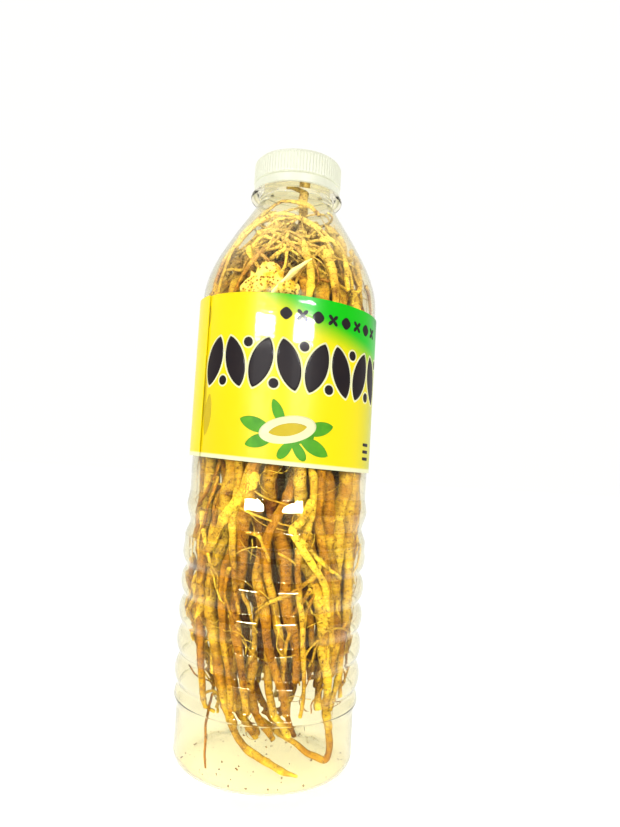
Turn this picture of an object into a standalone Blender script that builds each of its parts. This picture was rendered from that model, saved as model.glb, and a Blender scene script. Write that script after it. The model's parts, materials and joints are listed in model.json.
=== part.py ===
"""A clear bottle packed with dried ginseng roots, closed by a white screw cap.

The bottle stands on its base ring, with its axis on Z and the floor at z = 0. All sizes are in metres.
The turned pieces come from profiles of (radius, height). The roots are bundles of strands: each strand is a
disc at every level of a stack of levels, the discs are moved until none touches another or the wall, and a
tapered tube then runs through each strand's discs. A side root starts inside its parent and is fused to it.
"""

import math

import bmesh
import bpy
import numpy as np
from mathutils import Vector

# Bottle body
RIB_RADIUS = 0.0326
PANEL_RADIUS = 0.0316
HEEL_RADIUS = 0.0312
WALL = 0.0005
FOOT_INNER, FOOT_OUTER = 0.0252, 0.0270
HEEL_ROUND = 0.0043
BASE_DOME = 0.0070
RIB_START, RIB_PITCH, RIB_COUNT = 0.0258, 0.0101, 5
RIB_DEPTH, RIB_HALF = 0.00125, 0.0034
HEEL_TOP = 0.0205
GRIP_Z, GRIP_HALF, GRIP_DEPTH = 0.0815, 0.0064, 0.0016
PANEL_FROM, PANEL_TO = 0.0925, 0.1600
BOTTLE_SIDES = 32

# Neck and its finish
SHOULDER_TOP_RADIUS, SHOULDER_TOP = 0.0140, 0.1980
NECK_RADIUS, BORE_RADIUS = 0.0130, 0.0115
NECK_ROOT_RADIUS = 0.0136
RING_RADIUS, RING_LOW, RING_HIGH = 0.0169, 0.2002, 0.2018
BEAD_RADIUS, BEAD_Z = 0.0140, 0.2047
RIM_Z = 0.2123

# Screw thread: three starts, right-handed
THREAD_STARTS = 3
THREAD_LEAD = 0.0090
THREAD_SWEEP = math.radians(105)
THREAD_STEPS = 9
NECK_THREAD_CREST, NECK_THREAD_Z = 0.0141, 0.2066
CAP_THREAD_CREST = 0.0135
THREAD_ROOT_HALF, THREAD_CREST_HALF = 0.00062, 0.00030
THREAD_SPACING = THREAD_LEAD / THREAD_STARTS

# Cap and the loose band under it
CAP_RADIUS, CAP_INNER = 0.0158, 0.0146
CAP_LOW, CAP_HIGH, CAP_TOP_WALL = 0.2059, 0.2145, 0.0014
CAP_EDGE = 0.0010
KNURL_COUNT, KNURL_HEIGHT = 40, 0.00035
LINER_RADIUS, LINER_LOW, LINER_HIGH = 0.0140, 0.21255, 0.21285
BAND_RADIUS, BAND_INNER, BAND_LIP = 0.0160, 0.0147, 0.0136
BAND_LOW, BAND_HIGH = 0.2023, 0.2055
BAND_SIDES = 40

# Label: one sheet wound round the panel, its last part lying over its first
LABEL_LOW, LABEL_HIGH = 0.1029, 0.1578
LABEL_GAP, LABEL_SHEET = 0.0003, 0.0003
LABEL_START = math.radians(201)
LABEL_SWEEP = math.radians(372)
LABEL_STEPS = 62
LABEL_SLANT = 0.044

# Roots
SEED = 11
LEVEL_LOW, LEVEL_STEP, LEVEL_COUNT = 0.0240, 0.0105, 17
ROOT_CLEARANCE = 0.00050
CORE_ROOTS = 25
FRONT_DEPTH = 0.0275
TIP_SHARE = 0.55
SHOULDER_LEVEL, SHOULDER_ROOM = 14, 0.0040
RELAX_ROUNDS, SETTLE_ROUNDS = 420, 480
ROOTLET_RADIUS = 0.00075


def material(name, colour, roughness, metallic=0.0, alpha=1.0):
    """A Principled material in the piece's own colour."""
    made = bpy.data.materials.new(name)
    made.use_nodes = True
    shader = made.node_tree.nodes["Principled BSDF"]
    shader.inputs["Base Color"].default_value = (*colour, 1.0)
    shader.inputs["Roughness"].default_value = roughness
    shader.inputs["Metallic"].default_value = metallic
    shader.inputs["Alpha"].default_value = alpha
    return made


def add_object(name, mesh, look):
    """Links a finished mesh to the scene as one named piece."""
    mesh.name = name
    piece = bpy.data.objects.new(name, mesh)
    bpy.context.scene.collection.objects.link(piece)
    mesh.materials.append(look)
    return piece


def turned_mesh(profile, sides, closed=False, radius_at=None):
    """Turns a profile of (radius, height) round Z. A point at radius 0 becomes a pole.

    radius_at(index, angle, radius) may change a point's radius with the angle, as a knurled skirt needs.
    """
    form = bmesh.new()
    rings = []
    for index, (radius, height) in enumerate(profile):
        if radius < 1e-9:
            rings.append([form.verts.new((0.0, 0.0, height))])
            continue
        ring = []
        for side in range(sides):
            angle = 2 * math.pi * side / sides
            here = radius_at(index, side, radius) if radius_at else radius
            ring.append(form.verts.new((here * math.cos(angle), here * math.sin(angle), height)))
        rings.append(ring)
    pairs = list(zip(rings, rings[1:]))
    if closed:
        pairs.append((rings[-1], rings[0]))
    for lower, upper in pairs:
        for side in range(sides):
            after = (side + 1) % sides
            if len(lower) == 1:
                form.faces.new((lower[0], upper[after], upper[side]))
            elif len(upper) == 1:
                form.faces.new((lower[side], lower[after], upper[0]))
            else:
                form.faces.new((lower[side], lower[after], upper[after], upper[side]))
    return finished(form)


def finished(form):
    """Faces turned outwards, round parts shaded smooth."""
    bmesh.ops.recalc_face_normals(form, faces=form.faces)
    mesh = bpy.data.meshes.new("shape")
    form.to_mesh(mesh)
    form.free()
    mesh.shade_smooth()
    mesh.set_sharp_from_angle(angle=math.radians(40))
    return mesh


def tube_mesh(points, radii, sides, twist=0.0, blunt=0.5):
    """A closed tube through the points, its rings square to the path, with a low cone at both ends."""
    form = bmesh.new()
    points = [Vector(p) for p in points]
    count = len(points)
    tangents = []
    for i in range(count):
        tangents.append((points[min(i + 1, count - 1)] - points[max(i - 1, 0)]).normalized())
    across = tangents[0].orthogonal().normalized()
    rings = []
    for i in range(count):
        across = (across - tangents[i] * across.dot(tangents[i])).normalized()
        beside = tangents[i].cross(across)
        ring = []
        for side in range(sides):
            angle = twist + 2 * math.pi * side / sides
            offset = across * math.cos(angle) + beside * math.sin(angle)
            ring.append(form.verts.new(points[i] + offset * radii[i]))
        rings.append(ring)
    for lower, upper in zip(rings, rings[1:]):
        for side in range(sides):
            after = (side + 1) % sides
            form.faces.new((lower[side], lower[after], upper[after], upper[side]))
    first = form.verts.new(points[0] - tangents[0] * radii[0] * blunt)
    last = form.verts.new(points[-1] + tangents[-1] * radii[-1] * blunt)
    for side in range(sides):
        after = (side + 1) % sides
        form.faces.new((first, rings[0][after], rings[0][side]))
        form.faces.new((last, rings[-1][side], rings[-1][after]))
    return finished(form)


def fused(meshes, solver="MANIFOLD"):
    """One mesh, the Boolean union of several closed ones that overlap."""
    if len(meshes) == 1:
        return meshes[0]
    pile = bpy.data.collections.new("pile")
    bpy.context.scene.collection.children.link(pile)
    helpers = []
    for mesh in meshes:
        helper = bpy.data.objects.new("helper", mesh)
        helpers.append(helper)
    bpy.context.scene.collection.objects.link(helpers[0])
    for helper in helpers[1:]:
        pile.objects.link(helper)
    union = helpers[0].modifiers.new("union", "BOOLEAN")
    union.operation = "UNION"
    union.solver = solver
    union.operand_type = "COLLECTION"
    union.collection = pile
    bpy.context.view_layer.update()
    graph = bpy.context.evaluated_depsgraph_get()
    joined = bpy.data.meshes.new_from_object(helpers[0].evaluated_get(graph))
    for helper in helpers:
        bpy.data.objects.remove(helper)
    bpy.data.collections.remove(pile)
    joined.materials.clear()
    return joined


def bezier(start, lead, trail, end, count):
    """Points along a cubic curve, without its first point."""
    points = []
    for step in range(1, count + 1):
        t = step / count
        weights = ((1 - t) ** 3, 3 * t * (1 - t) ** 2, 3 * t * t * (1 - t), t ** 3)
        corners = (start, lead, trail, end)
        points.append(tuple(sum(w * c[axis] for w, c in zip(weights, corners)) for axis in (0, 1)))
    return points


def body_profile():
    """The outside of the bottle from the middle of its base to the top of its shoulder."""
    dome = ((0.0, 1.0), (0.4, 0.88), (0.75, 0.45))
    profile = [(share * FOOT_INNER, rise * BASE_DOME) for share, rise in dome]
    profile += [(FOOT_INNER, 0.0), (FOOT_OUTER, 0.0)]
    for step in range(1, 4):
        turn = math.radians(30 * step)
        rise = HEEL_ROUND * (1 - math.cos(turn))
        profile.append((FOOT_OUTER + HEEL_ROUND * math.sin(turn), rise))
    profile.append((HEEL_RADIUS, HEEL_TOP))
    grooves = [(RIB_START + rib * RIB_PITCH, RIB_HALF, RIB_DEPTH) for rib in range(RIB_COUNT)]
    grooves.append((GRIP_Z, GRIP_HALF, GRIP_DEPTH))
    for middle, half, depth in grooves:
        profile += [(RIB_RADIUS, middle - half), (RIB_RADIUS - depth, middle), (RIB_RADIUS, middle + half)]
    profile += [(PANEL_RADIUS, PANEL_FROM), (PANEL_RADIUS, PANEL_TO)]
    profile += shoulder_points(6)
    return profile


def shoulder_points(count):
    """The shoulder: a cubic curve that leaves the panel upright and runs in to the foot of the neck."""
    return bezier(
        (PANEL_RADIUS, PANEL_TO),
        (PANEL_RADIUS, PANEL_TO + 0.012),
        (0.75 * PANEL_RADIUS, SHOULDER_TOP - 0.016),
        (SHOULDER_TOP_RADIUS, SHOULDER_TOP),
        count,
    )


def neck_profile():
    """The outside of the neck, its support ring, bead and rim, then the bore down to the shoulder."""
    half_bead = 0.0004
    return [
        (NECK_ROOT_RADIUS, RING_LOW - 0.0012),
        (NECK_ROOT_RADIUS, RING_LOW),
        (RING_RADIUS, RING_LOW + 0.0003),
        (RING_RADIUS, RING_HIGH - 0.0003),
        (NECK_RADIUS, RING_HIGH),
        (NECK_RADIUS, BEAD_Z - 2 * half_bead),
        (BEAD_RADIUS, BEAD_Z - half_bead),
        (BEAD_RADIUS, BEAD_Z + half_bead),
        (NECK_RADIUS, BEAD_Z + 2 * half_bead),
        (NECK_RADIUS, RIM_Z - 0.0003),
        (NECK_RADIUS - 0.0004, RIM_Z),
        (BORE_RADIUS, RIM_Z),
        (BORE_RADIUS, RING_LOW - 0.0010),
    ]


def inward(profile, distance):
    """The profile moved towards the bottle's inside by the distance, square to its own run."""
    moved = []
    last = len(profile) - 1
    for i, (radius, height) in enumerate(profile):
        before, after = profile[max(i - 1, 0)], profile[min(i + 1, last)]
        run, rise = after[0] - before[0], after[1] - before[1]
        length = math.hypot(run, rise)
        moved.append((max(radius - distance * rise / length, 0.0), height + distance * run / length))
    moved[0] = (0.0, profile[0][1] + distance)
    return moved


def inner_radius(height):
    """The radius of the bottle's inside at a height, over the part that holds roots."""
    inner = [(r, z) for r, z in inward(body_profile(), WALL) if z > HEEL_ROUND]
    inner.append((BORE_RADIUS, RING_LOW))
    heights = [z for _, z in inner]
    return float(np.interp(height, heights, [r for r, _ in inner])) * math.cos(math.pi / BOTTLE_SIDES)


def thread_ridges(root_radius, crest_radius, start_z, first_angle):
    """The ridges of a thread with several starts: each climbs as it turns and fades out at both ends."""
    out = 1.0 if crest_radius > root_radius else -1.0
    buried = root_radius - out * 0.0004
    ridges = []
    for start in range(THREAD_STARTS):
        form = bmesh.new()
        sections = []
        for step in range(THREAD_STEPS + 1):
            share = step / THREAD_STEPS
            angle = first_angle + start * 2 * math.pi / THREAD_STARTS + share * THREAD_SWEEP
            middle = start_z + THREAD_LEAD * share * THREAD_SWEEP / (2 * math.pi)
            faded = 0.25 if step in (0, THREAD_STEPS) else 1.0
            crest = root_radius + (crest_radius - root_radius) * faded
            corners = (
                (buried, middle - THREAD_ROOT_HALF),
                (crest, middle - THREAD_CREST_HALF),
                (crest, middle + THREAD_CREST_HALF),
                (buried, middle + THREAD_ROOT_HALF),
            )
            section = []
            for radius, height in corners:
                section.append(form.verts.new((radius * math.cos(angle), radius * math.sin(angle), height)))
            sections.append(section)
        for one, two in zip(sections, sections[1:]):
            for k in range(4):
                form.faces.new((one[k], one[(k + 1) % 4], two[(k + 1) % 4], two[k]))
        form.faces.new(sections[0])
        form.faces.new(sections[-1])
        ridges.append(finished(form))
    return ridges


def make_bottle(look):
    """The blown bottle, of even wall: base, ribs, label panel, shoulder and threaded neck."""
    body = body_profile()
    profile = body + neck_profile() + inward(body, WALL)[::-1]
    shell = turned_mesh(profile, BOTTLE_SIDES)
    ridges = thread_ridges(NECK_RADIUS, NECK_THREAD_CREST, NECK_THREAD_Z, 0.0)
    return add_object("bottle", fused([shell, *ridges]), look)


def make_cap(look):
    """The cap: a knurled cup with three ridges inside that sit just under the neck's."""
    inner_top = CAP_HIGH - CAP_TOP_WALL
    profile = [
        (0.0, CAP_HIGH),
        (CAP_RADIUS - CAP_EDGE, CAP_HIGH),
        (CAP_RADIUS - 0.3 * CAP_EDGE, CAP_HIGH - 0.3 * CAP_EDGE),
        (CAP_RADIUS, CAP_HIGH - 1.2 * CAP_EDGE),
        (CAP_RADIUS, CAP_LOW),
        (CAP_INNER, CAP_LOW),
        (CAP_INNER, inner_top),
        (0.0, inner_top),
    ]

    def knurled(index, side, radius):
        on_skirt = index in (3, 4)
        return radius + (KNURL_HEIGHT if on_skirt and side % 2 else 0.0)

    cup = turned_mesh(profile, 2 * KNURL_COUNT, radius_at=knurled)
    ridges = thread_ridges(CAP_INNER, CAP_THREAD_CREST, NECK_THREAD_Z + 0.5 * THREAD_SPACING, 0.0)
    return add_object("cap", fused([cup, *ridges]), look)


def make_band(look):
    """The band that a broken seal leaves on the neck. Its lip catches under the bead, so it can't rise."""
    lip_top = BAND_LOW + 0.0011
    profile = [
        (BAND_RADIUS, BAND_LOW),
        (BAND_RADIUS, BAND_HIGH),
        (BAND_INNER, BAND_HIGH),
        (BAND_INNER, lip_top + 0.0004),
        (BAND_LIP, lip_top),
        (BAND_LIP, BAND_LOW),
    ]
    return add_object("seal_band", turned_mesh(profile, BAND_SIDES, closed=True), look)


def make_liner(look):
    """The thin sealing disc under the cap's top. It rises with the cap, and the cap turns on it."""
    profile = [(0.0, LINER_HIGH), (LINER_RADIUS, LINER_HIGH), (LINER_RADIUS, LINER_LOW), (0.0, LINER_LOW)]
    return add_object("cap_liner", turned_mesh(profile, BAND_SIDES), look)


def make_label(look):
    """The label: a strip whose radius grows through its last degrees, so that the end lies over the start.

    It sits a little askew: its height falls with the sideways place, as a sleeve's that is tipped.
    """
    form = bmesh.new()
    sections = []
    base = PANEL_RADIUS + LABEL_GAP
    lift = LABEL_SHEET + LABEL_GAP
    for step in range(LABEL_STEPS + 1):
        turned = LABEL_SWEEP * step / LABEL_STEPS
        share = min(max((turned - math.radians(318)) / math.radians(40), 0.0), 1.0)
        inner = base + lift * share * share * (3 - 2 * share)
        angle = LABEL_START + turned
        section = []
        corners = (
            (inner, LABEL_LOW),
            (inner + LABEL_SHEET, LABEL_LOW),
            (inner + LABEL_SHEET, LABEL_HIGH),
            (inner, LABEL_HIGH),
        )
        for radius, height in corners:
            x, y = radius * math.cos(angle), radius * math.sin(angle)
            section.append(form.verts.new((x, y, height - LABEL_SLANT * x)))
        sections.append(section)
    for one, two in zip(sections, sections[1:]):
        for k in range(4):
            form.faces.new((one[k], one[(k + 1) % 4], two[(k + 1) % 4], two[k]))
    form.faces.new(sections[0])
    form.faces.new(sections[-1])
    return add_object("label", finished(form), look)


# Roots that show at the front, each as (thickness at its top, crown's extra width, top level, then
# (height, sideways place) from the top down). Places are in millimetres, as someone facing the label
# sees them.
FRONT_ROOTS = (
    (
        5.0,
        0,
        14,
        ((170, -17), (140, -20), (104, -11), (81, -16), (70, -21), (61, -22), (45, -18), (26, -12)),
    ),
    (4.2, 0, 13, ((165, -9), (140, -10), (103, -11), (88, -8), (61, -4), (46, -1), (37, 5), (28, 7))),
    (4.4, 0, 13, ((160, -13), (130, -16), (104, -7), (83, -9), (73, -13), (60, -13), (45, -10), (30, -6))),
    (5.2, 7, 14, ((171, -3), (140, -1), (103, -3), (81, -1), (74, 3), (60, 4), (45, 9), (34, 10))),
    (5.2, 0, 15, ((182, 7), (140, 11), (103, 13), (93, 14), (71, 20), (62, 21), (50, 22), (38, 20))),
    (4.6, 0, 15, ((181, 13), (140, 20), (104, 24), (82, 19), (71, 20), (57, 24), (46, 22), (30, 19))),
    (4.6, 0, 12, ((150, 5), (104, 6), (84, 7), (78, 9), (67, 15), (55, 17), (36, 20), (26, 20))),
    (3.8, 0, 13, ((158, -23), (120, -24), (100, -23), (80, -24), (62, -25), (50, -22), (36, -17))),
    (4.2, 0, 14, ((172, 20), (150, 25), (104, 27), (80, 25), (66, 26), (56, 27), (44, 22))),
    (3.4, 0, 16, ((192, 3), (175, 2), (160, 3), (110, 9), (90, 2), (80, -5), (66, -3), (50, 4))),
)
# Where a root goes on below the levels or above them, as points in millimetres from the levels outward.
TAILS = {
    0: ((-9.8, -22.8, 17.8), (-5.8, -22.8, 12.6), (0.0, -22.6, 8.4), (6.0, -22.4, 5.4), (11.5, -21.9, 3.4)),
    6: (
        (22.0, -13.5, 14.0),
        (22.6, -13.3, 8.5),
        (21.5, -13.5, 5.0),
        (16.5, -13.6, 6.4),
        (10.5, -13.6, 10.4),
        (4.0, -13.4, 14.4),
        (-1.5, -13.2, 18.2),
    ),
}
TAIL_TAPER, TAIL_LEAST = 0.94, 0.0008
HEADS = {9: ((2.6, -6.4, 198.5), (3.3, -6.8, 202.6), (0.9, -7.1, 205.2), (-3.2, -7.0, 206.0))}
# Thin rootlets along the inside of the shoulder, as (distance from the wall, then (angle, height)).
ROOTLETS = (
    (1.2, ((214, 178), (224, 184), (238, 188), (254, 190), (270, 189), (284, 186), (294, 181), (302, 175))),
    (1.2, ((300, 191), (286, 194), (268, 195), (250, 195), (234, 193), (220, 188), (208, 182), (200, 175))),
    (3.1, ((229, 175), (238, 180), (250, 183), (266, 183), (279, 181), (289, 176))),
    (3.1, ((317, 175), (309, 180), (298, 185), (284, 188), (268, 189), (252, 188), (240, 185))),
    (1.2, ((322, 175), (331, 180), (343, 182), (355, 180), (364, 175))),
)


def planned_strands(draw):
    """Every strand before it is moved: levels, thickness, wished-for line, and the strand it grows from."""
    heights = LEVEL_LOW + LEVEL_STEP * np.arange(LEVEL_COUNT)
    nearby = LEVEL_STEP * np.linspace(-0.5, 0.5, 9)
    room = np.array([min(inner_radius(z + step) for step in nearby) for z in heights])
    room[SHOULDER_LEVEL:] -= SHOULDER_ROOM
    narrowing = 0.60 + 0.40 * np.clip((heights - 0.020) / 0.055, 0.0, 1.0)
    strands = []
    for thickness, crown, top, places in FRONT_ROOTS:
        down = sorted(places)
        sideways = np.interp(heights, [z / 1000 for z, _ in down], [x / 1000 for _, x in down])
        reach = np.minimum(FRONT_DEPTH, room - 0.0035)
        sideways = np.clip(sideways, -0.96 * reach, 0.96 * reach)
        line = np.stack([sideways, -np.sqrt(reach ** 2 - sideways ** 2)], axis=1)
        low = 1 if min(z for z, _ in places) > 33 else 0
        strand = {"line": line, "top": top, "low": low, "thick": thickness / 2000}
        strands.append({**strand, "crown": crown / 2000, "pull": 0.30})
    for i in range(CORE_ROOTS):
        rank = (i + 0.5) / CORE_ROOTS
        angle = i * math.pi * (3 - math.sqrt(5)) + draw.uniform(-0.2, 0.2)
        share = 0.16 + 0.84 * math.sqrt(rank)
        if math.sin(angle) < -0.35 and share > 0.72:
            share *= 0.72
        swing = draw.uniform(0.10, 0.42)
        wave = draw.uniform(0.050, 0.110)
        phase = draw.uniform(0.0, 2 * math.pi)
        drift = draw.uniform(-3.4, 3.4)
        turn = angle + swing * np.sin(2 * math.pi * heights / wave + phase) + drift * (heights - 0.1)
        reach = share * (room - 0.0035) * narrowing
        line = np.stack([reach * np.cos(turn) + 0.010 * (1 - narrowing), reach * np.sin(turn)], axis=1)
        line += draw.normal(0.0, 0.0011, line.shape)
        top = int(draw.integers(13, 17)) if share < 0.75 else int(draw.integers(12, 16))
        low = int(draw.integers(0, 3))
        thick = draw.uniform(1.7, 2.6) / 1000
        crown = 0.0017 if draw.random() < 0.45 and top < 16 else 0.0
        strands.append({"line": line, "top": top, "low": low, "thick": thick, "crown": crown, "pull": 0.10})
    for parent in range(len(strands)):
        stem = strands[parent]
        for _ in range(1 if draw.random() < 0.86 else 2):
            fork = int(draw.integers(6, stem["top"] - 1))
            lean = draw.uniform(-0.010, 0.010, 2)
            below = np.clip((heights[fork] - heights) / 0.04, 0.0, 1.0)
            line = stem["line"] * 0.96 + below[:, None] * lean
            low = int(draw.integers(0, 4))
            thick = 0.66 * stem["thick"]
            strand = {"line": line, "top": fork, "low": low, "thick": thick}
            strands.append({**strand, "crown": 0.0, "pull": 0.04, "parent": parent})
    return heights, room, strands


def strand_radii(strand, heights):
    """A strand's radius at each level: a little thicker at a crown, thinning towards its tip."""
    top, low = strand["top"], strand["low"]
    along = np.clip((heights - heights[low]) / (heights[top] - heights[low]), 0.0, 1.0)
    radii = strand["thick"] * (TIP_SHARE + (1 - TIP_SHARE) * np.minimum(along / 0.40, 1.0))
    return radii + strand["crown"] * np.clip((heights - heights[top] + 0.012) / 0.012, 0.0, 1.0)


def pushed_apart(places, radii, active, need_share, walls):
    """One round of moves that takes overlapping discs apart and keeps every disc inside its wall."""
    slope = np.zeros(radii.shape)
    steps = np.hypot(np.diff(places[:, :, 0], axis=1), np.diff(places[:, :, 1], axis=1)) / LEVEL_STEP
    slope[:, :-1] = steps
    slope[:, 1:] = np.maximum(slope[:, 1:], steps)
    wide = radii * np.sqrt(1 + np.minimum(slope, 1.2) ** 2)
    both = active[:, None, :] & active[None, :, :]
    gap = places[:, None] - places[None, :]
    far = np.hypot(gap[..., 0], gap[..., 1]) + 1e-9
    need = (wide[:, None] + wide[None, :] + ROOT_CLEARANCE) * need_share
    short = np.where(both, np.maximum(need - far, 0.0), 0.0)
    worst = float(short.max())
    places = places + 0.5 * (gap * (short / far)[..., None]).sum(axis=1)
    between = 0.5 * (places[:, :-1] + places[:, 1:])
    both = both[:, :, :-1] & both[:, :, 1:]
    gap = between[:, None] - between[None, :]
    far = np.hypot(gap[..., 0], gap[..., 1]) + 1e-9
    need = 0.5 * (need[:, :, :-1] + need[:, :, 1:])
    short = np.where(both, np.maximum(need - far, 0.0), 0.0)
    worst = max(worst, float(short.max()))
    move = 0.5 * (gap * (short / far)[..., None]).sum(axis=1)
    places[:, :-1] += 0.5 * move
    places[:, 1:] += 0.5 * move
    out = np.hypot(places[..., 0], places[..., 1]) + 1e-9
    limit = walls[None, :] - wide - ROOT_CLEARANCE
    return places * np.minimum(1.0, limit / out)[..., None], worst


def settled_places(heights, room, strands, draw):
    """Moves every strand's discs until they are clear of each other, while each line stays smooth."""
    count = len(strands)
    places = np.array([s["line"] for s in strands]) + draw.normal(0.0, 0.0004, (count, LEVEL_COUNT, 2))
    wished = places.copy()
    radii = np.array([strand_radii(s, heights) for s in strands])
    level = np.arange(LEVEL_COUNT)
    active = np.array([(level >= s["low"]) & (level <= s["top"]) for s in strands])
    pull = np.array([s["pull"] for s in strands])[:, None, None]
    need_share = np.ones((count, count, LEVEL_COUNT))
    need_share[np.arange(count), np.arange(count)] = 0.0
    for i, strand in enumerate(strands):
        parent = strand.get("parent")
        if parent is None:
            continue
        family = [parent] + [j for j, s in enumerate(strands) if s.get("parent") == parent and j != i]
        for other in family:
            fork = min(strand["top"], strands[other]["top"]) if other != parent else strand["top"]
            share = np.clip((fork - level - 0.15) / 1.2, 0.0, 1.0)
            need_share[i, other] = need_share[other, i] = share
    for turn in range(RELAX_ROUNDS + SETTLE_ROUNDS):
        loose = max(1.0 - turn / RELAX_ROUNDS, 0.0)
        if loose > 0:
            places = places + loose * pull * (wished - places)
            middle = 0.5 * (places[:, :-2] + places[:, 2:]) - places[:, 1:-1]
            places[:, 1:-1] += 0.16 * loose * middle
        for i, strand in enumerate(strands):
            if "parent" in strand:
                places[i, strand["top"]] = places[strand["parent"], strand["top"]]
        places, worst = pushed_apart(places, radii, active, need_share, room)
    print(f"roots: {count} strands, largest shortfall {worst * 1000:.3f} mm")
    return places, radii


def make_roots(look):
    """Every root with its side roots, each fused to one solid."""
    draw = np.random.default_rng(SEED)
    heights, room, strands = planned_strands(draw)
    places, radii = settled_places(heights, room, strands, draw)
    meshes = {}
    for i, strand in enumerate(strands):
        levels = range(strand["top"], strand["low"] - 1, -1)
        points = [(*places[i, k], heights[k]) for k in levels]
        thick = [radii[i, k] for k in levels]
        if "parent" not in strand and i not in HEADS:
            share = draw.uniform(0.0, 0.45)
            points[0] = tuple(a + share * (b - a) for a, b in zip(points[0], points[1]))
        for head in HEADS.get(i, ()):
            points.insert(0, tuple(value / 1000 for value in head))
            thick.insert(0, thick[0])
        for tail in TAILS.get(i, ()):
            points.append(tuple(value / 1000 for value in tail))
            thick.append(max(thick[-1] * TAIL_TAPER, TAIL_LEAST))
        sides = 5 if "parent" not in strand else 4
        mesh = tube_mesh(points, thick, sides, twist=draw.uniform(0.0, math.pi))
        meshes.setdefault(strand.get("parent", i), []).append(mesh)
    for number, (stem, group) in enumerate(sorted(meshes.items()), start=1):
        add_object(f"root_{number:02d}", fused(group), look)


def make_rootlets(look):
    """Thin rootlets curled over the tops of the roots, close to the inside of the shoulder."""
    for number, (depth, stations) in enumerate(ROOTLETS, start=1):
        points = []
        for degrees, height in stations:
            angle = math.radians(degrees)
            radius = inner_radius(height / 1000) - depth / 1000 - 0.0002
            points.append((radius * math.cos(angle), radius * math.sin(angle), height / 1000))
        radii = np.linspace(ROOTLET_RADIUS, 0.6 * ROOTLET_RADIUS, len(points))
        add_object(f"rootlet_{number}", tube_mesh(points, radii, 4), look)


def main():
    for thing in list(bpy.data.objects):
        bpy.data.objects.remove(thing)
    clear = material("clear_bottle", (0.93, 0.96, 0.93), 0.05, alpha=0.35)
    white = material("cap_white", (0.90, 0.91, 0.86), 0.40)
    film = material("label_film", (0.95, 0.86, 0.04), 0.30)
    skin = material("root_skin", (0.72, 0.48, 0.13), 0.65)
    make_bottle(clear)
    make_cap(white)
    make_liner(white)
    make_band(white)
    make_label(film)
    make_roots(skin)
    make_rootlets(skin)


main()
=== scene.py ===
# %% [markdown]
# A clear bottle packed with dried ginseng roots.
#
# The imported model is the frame: it says where the bottle, its cap and every root are. This lesson
# lays the fine surfaces over it. Most pieces here are grids of points worked out with numpy, either a
# profile turned round the bottle's axis or a ring carried along a root's path.

import json
import math

import bpy
import numpy as np
from mathutils import Matrix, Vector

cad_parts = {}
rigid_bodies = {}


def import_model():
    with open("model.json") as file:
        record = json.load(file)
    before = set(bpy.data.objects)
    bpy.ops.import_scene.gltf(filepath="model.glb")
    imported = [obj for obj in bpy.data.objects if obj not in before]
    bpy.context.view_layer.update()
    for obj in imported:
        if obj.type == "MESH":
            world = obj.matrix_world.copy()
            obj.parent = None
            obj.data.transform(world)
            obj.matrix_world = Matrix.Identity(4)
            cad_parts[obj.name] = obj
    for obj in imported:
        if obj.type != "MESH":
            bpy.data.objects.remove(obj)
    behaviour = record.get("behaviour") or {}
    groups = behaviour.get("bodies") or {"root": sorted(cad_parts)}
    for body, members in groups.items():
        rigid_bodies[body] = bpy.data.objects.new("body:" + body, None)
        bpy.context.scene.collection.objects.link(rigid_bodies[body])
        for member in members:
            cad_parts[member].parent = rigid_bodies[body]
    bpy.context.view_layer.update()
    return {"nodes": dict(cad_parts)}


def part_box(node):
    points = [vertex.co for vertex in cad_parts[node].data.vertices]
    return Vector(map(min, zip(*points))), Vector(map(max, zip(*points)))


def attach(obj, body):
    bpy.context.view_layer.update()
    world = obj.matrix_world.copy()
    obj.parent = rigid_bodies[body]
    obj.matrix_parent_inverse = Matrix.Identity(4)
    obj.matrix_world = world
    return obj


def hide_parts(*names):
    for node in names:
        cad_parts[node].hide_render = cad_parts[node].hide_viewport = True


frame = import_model()
bottle_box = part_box("bottle")
print("nodes in the frame:", len(frame["nodes"]), "height:", round(bottle_box[1][2], 4))

# %% [markdown]
# ## Camera
#
# The photograph was taken from close by, a little below the middle of the bottle and tilted slightly
# up, with the bottle leaning to the right in the picture. The lens, the distance and the turns below
# were worked out from the bottle's outline, whose real sizes are known.

# %% Place the camera
CAMERA_PLACE = (-0.0005, -0.2403, 0.1057)
CAMERA_LENS = 28.57
CAMERA_UP, CAMERA_RIGHT, CAMERA_ROLL = math.radians(3.87), math.radians(2.45), math.radians(3.4)

camera_data = bpy.data.cameras.new("camera")
camera_data.sensor_width = 36.0
camera_data.lens = CAMERA_LENS
camera_data.clip_start = 0.01
camera = bpy.data.objects.new("camera", camera_data)
bpy.context.scene.collection.objects.link(camera)
camera.matrix_world = (
    Matrix.Translation(CAMERA_PLACE)
    @ Matrix.Rotation(-CAMERA_RIGHT, 4, "Z")
    @ Matrix.Rotation(math.pi / 2 + CAMERA_UP, 4, "X")
    @ Matrix.Rotation(CAMERA_ROLL, 4, "Z")
)
bpy.context.scene.camera = camera
bpy.context.scene.view_settings.view_transform = "Standard"
print("camera at", CAMERA_PLACE)

# %% [markdown]
# ## Shader helpers
#
# Every finish is a small graph of nodes. These helpers keep the graphs short to write: a value given to
# a node is either put on its socket or, where it is another node's output, linked to it.

# %% Nodes and links
def fill(tree, socket, value):
    """Gives a socket a number, a colour, or another node's output, which is linked to it."""
    if isinstance(value, bpy.types.NodeSocket):
        tree.links.new(value, socket)
    else:
        socket.default_value = value


def node(tree, kind, *values, **settings):
    """A shader node. Values fill its first sockets in order. Names fill a setting or a socket."""
    made = tree.nodes.new("ShaderNode" + kind)
    for key, value in settings.items():
        if hasattr(made, key):
            setattr(made, key, value)
        else:
            fill(tree, made.inputs[key], value)
    for socket, value in zip(made.inputs, values):
        fill(tree, socket, value)
    return made


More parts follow.
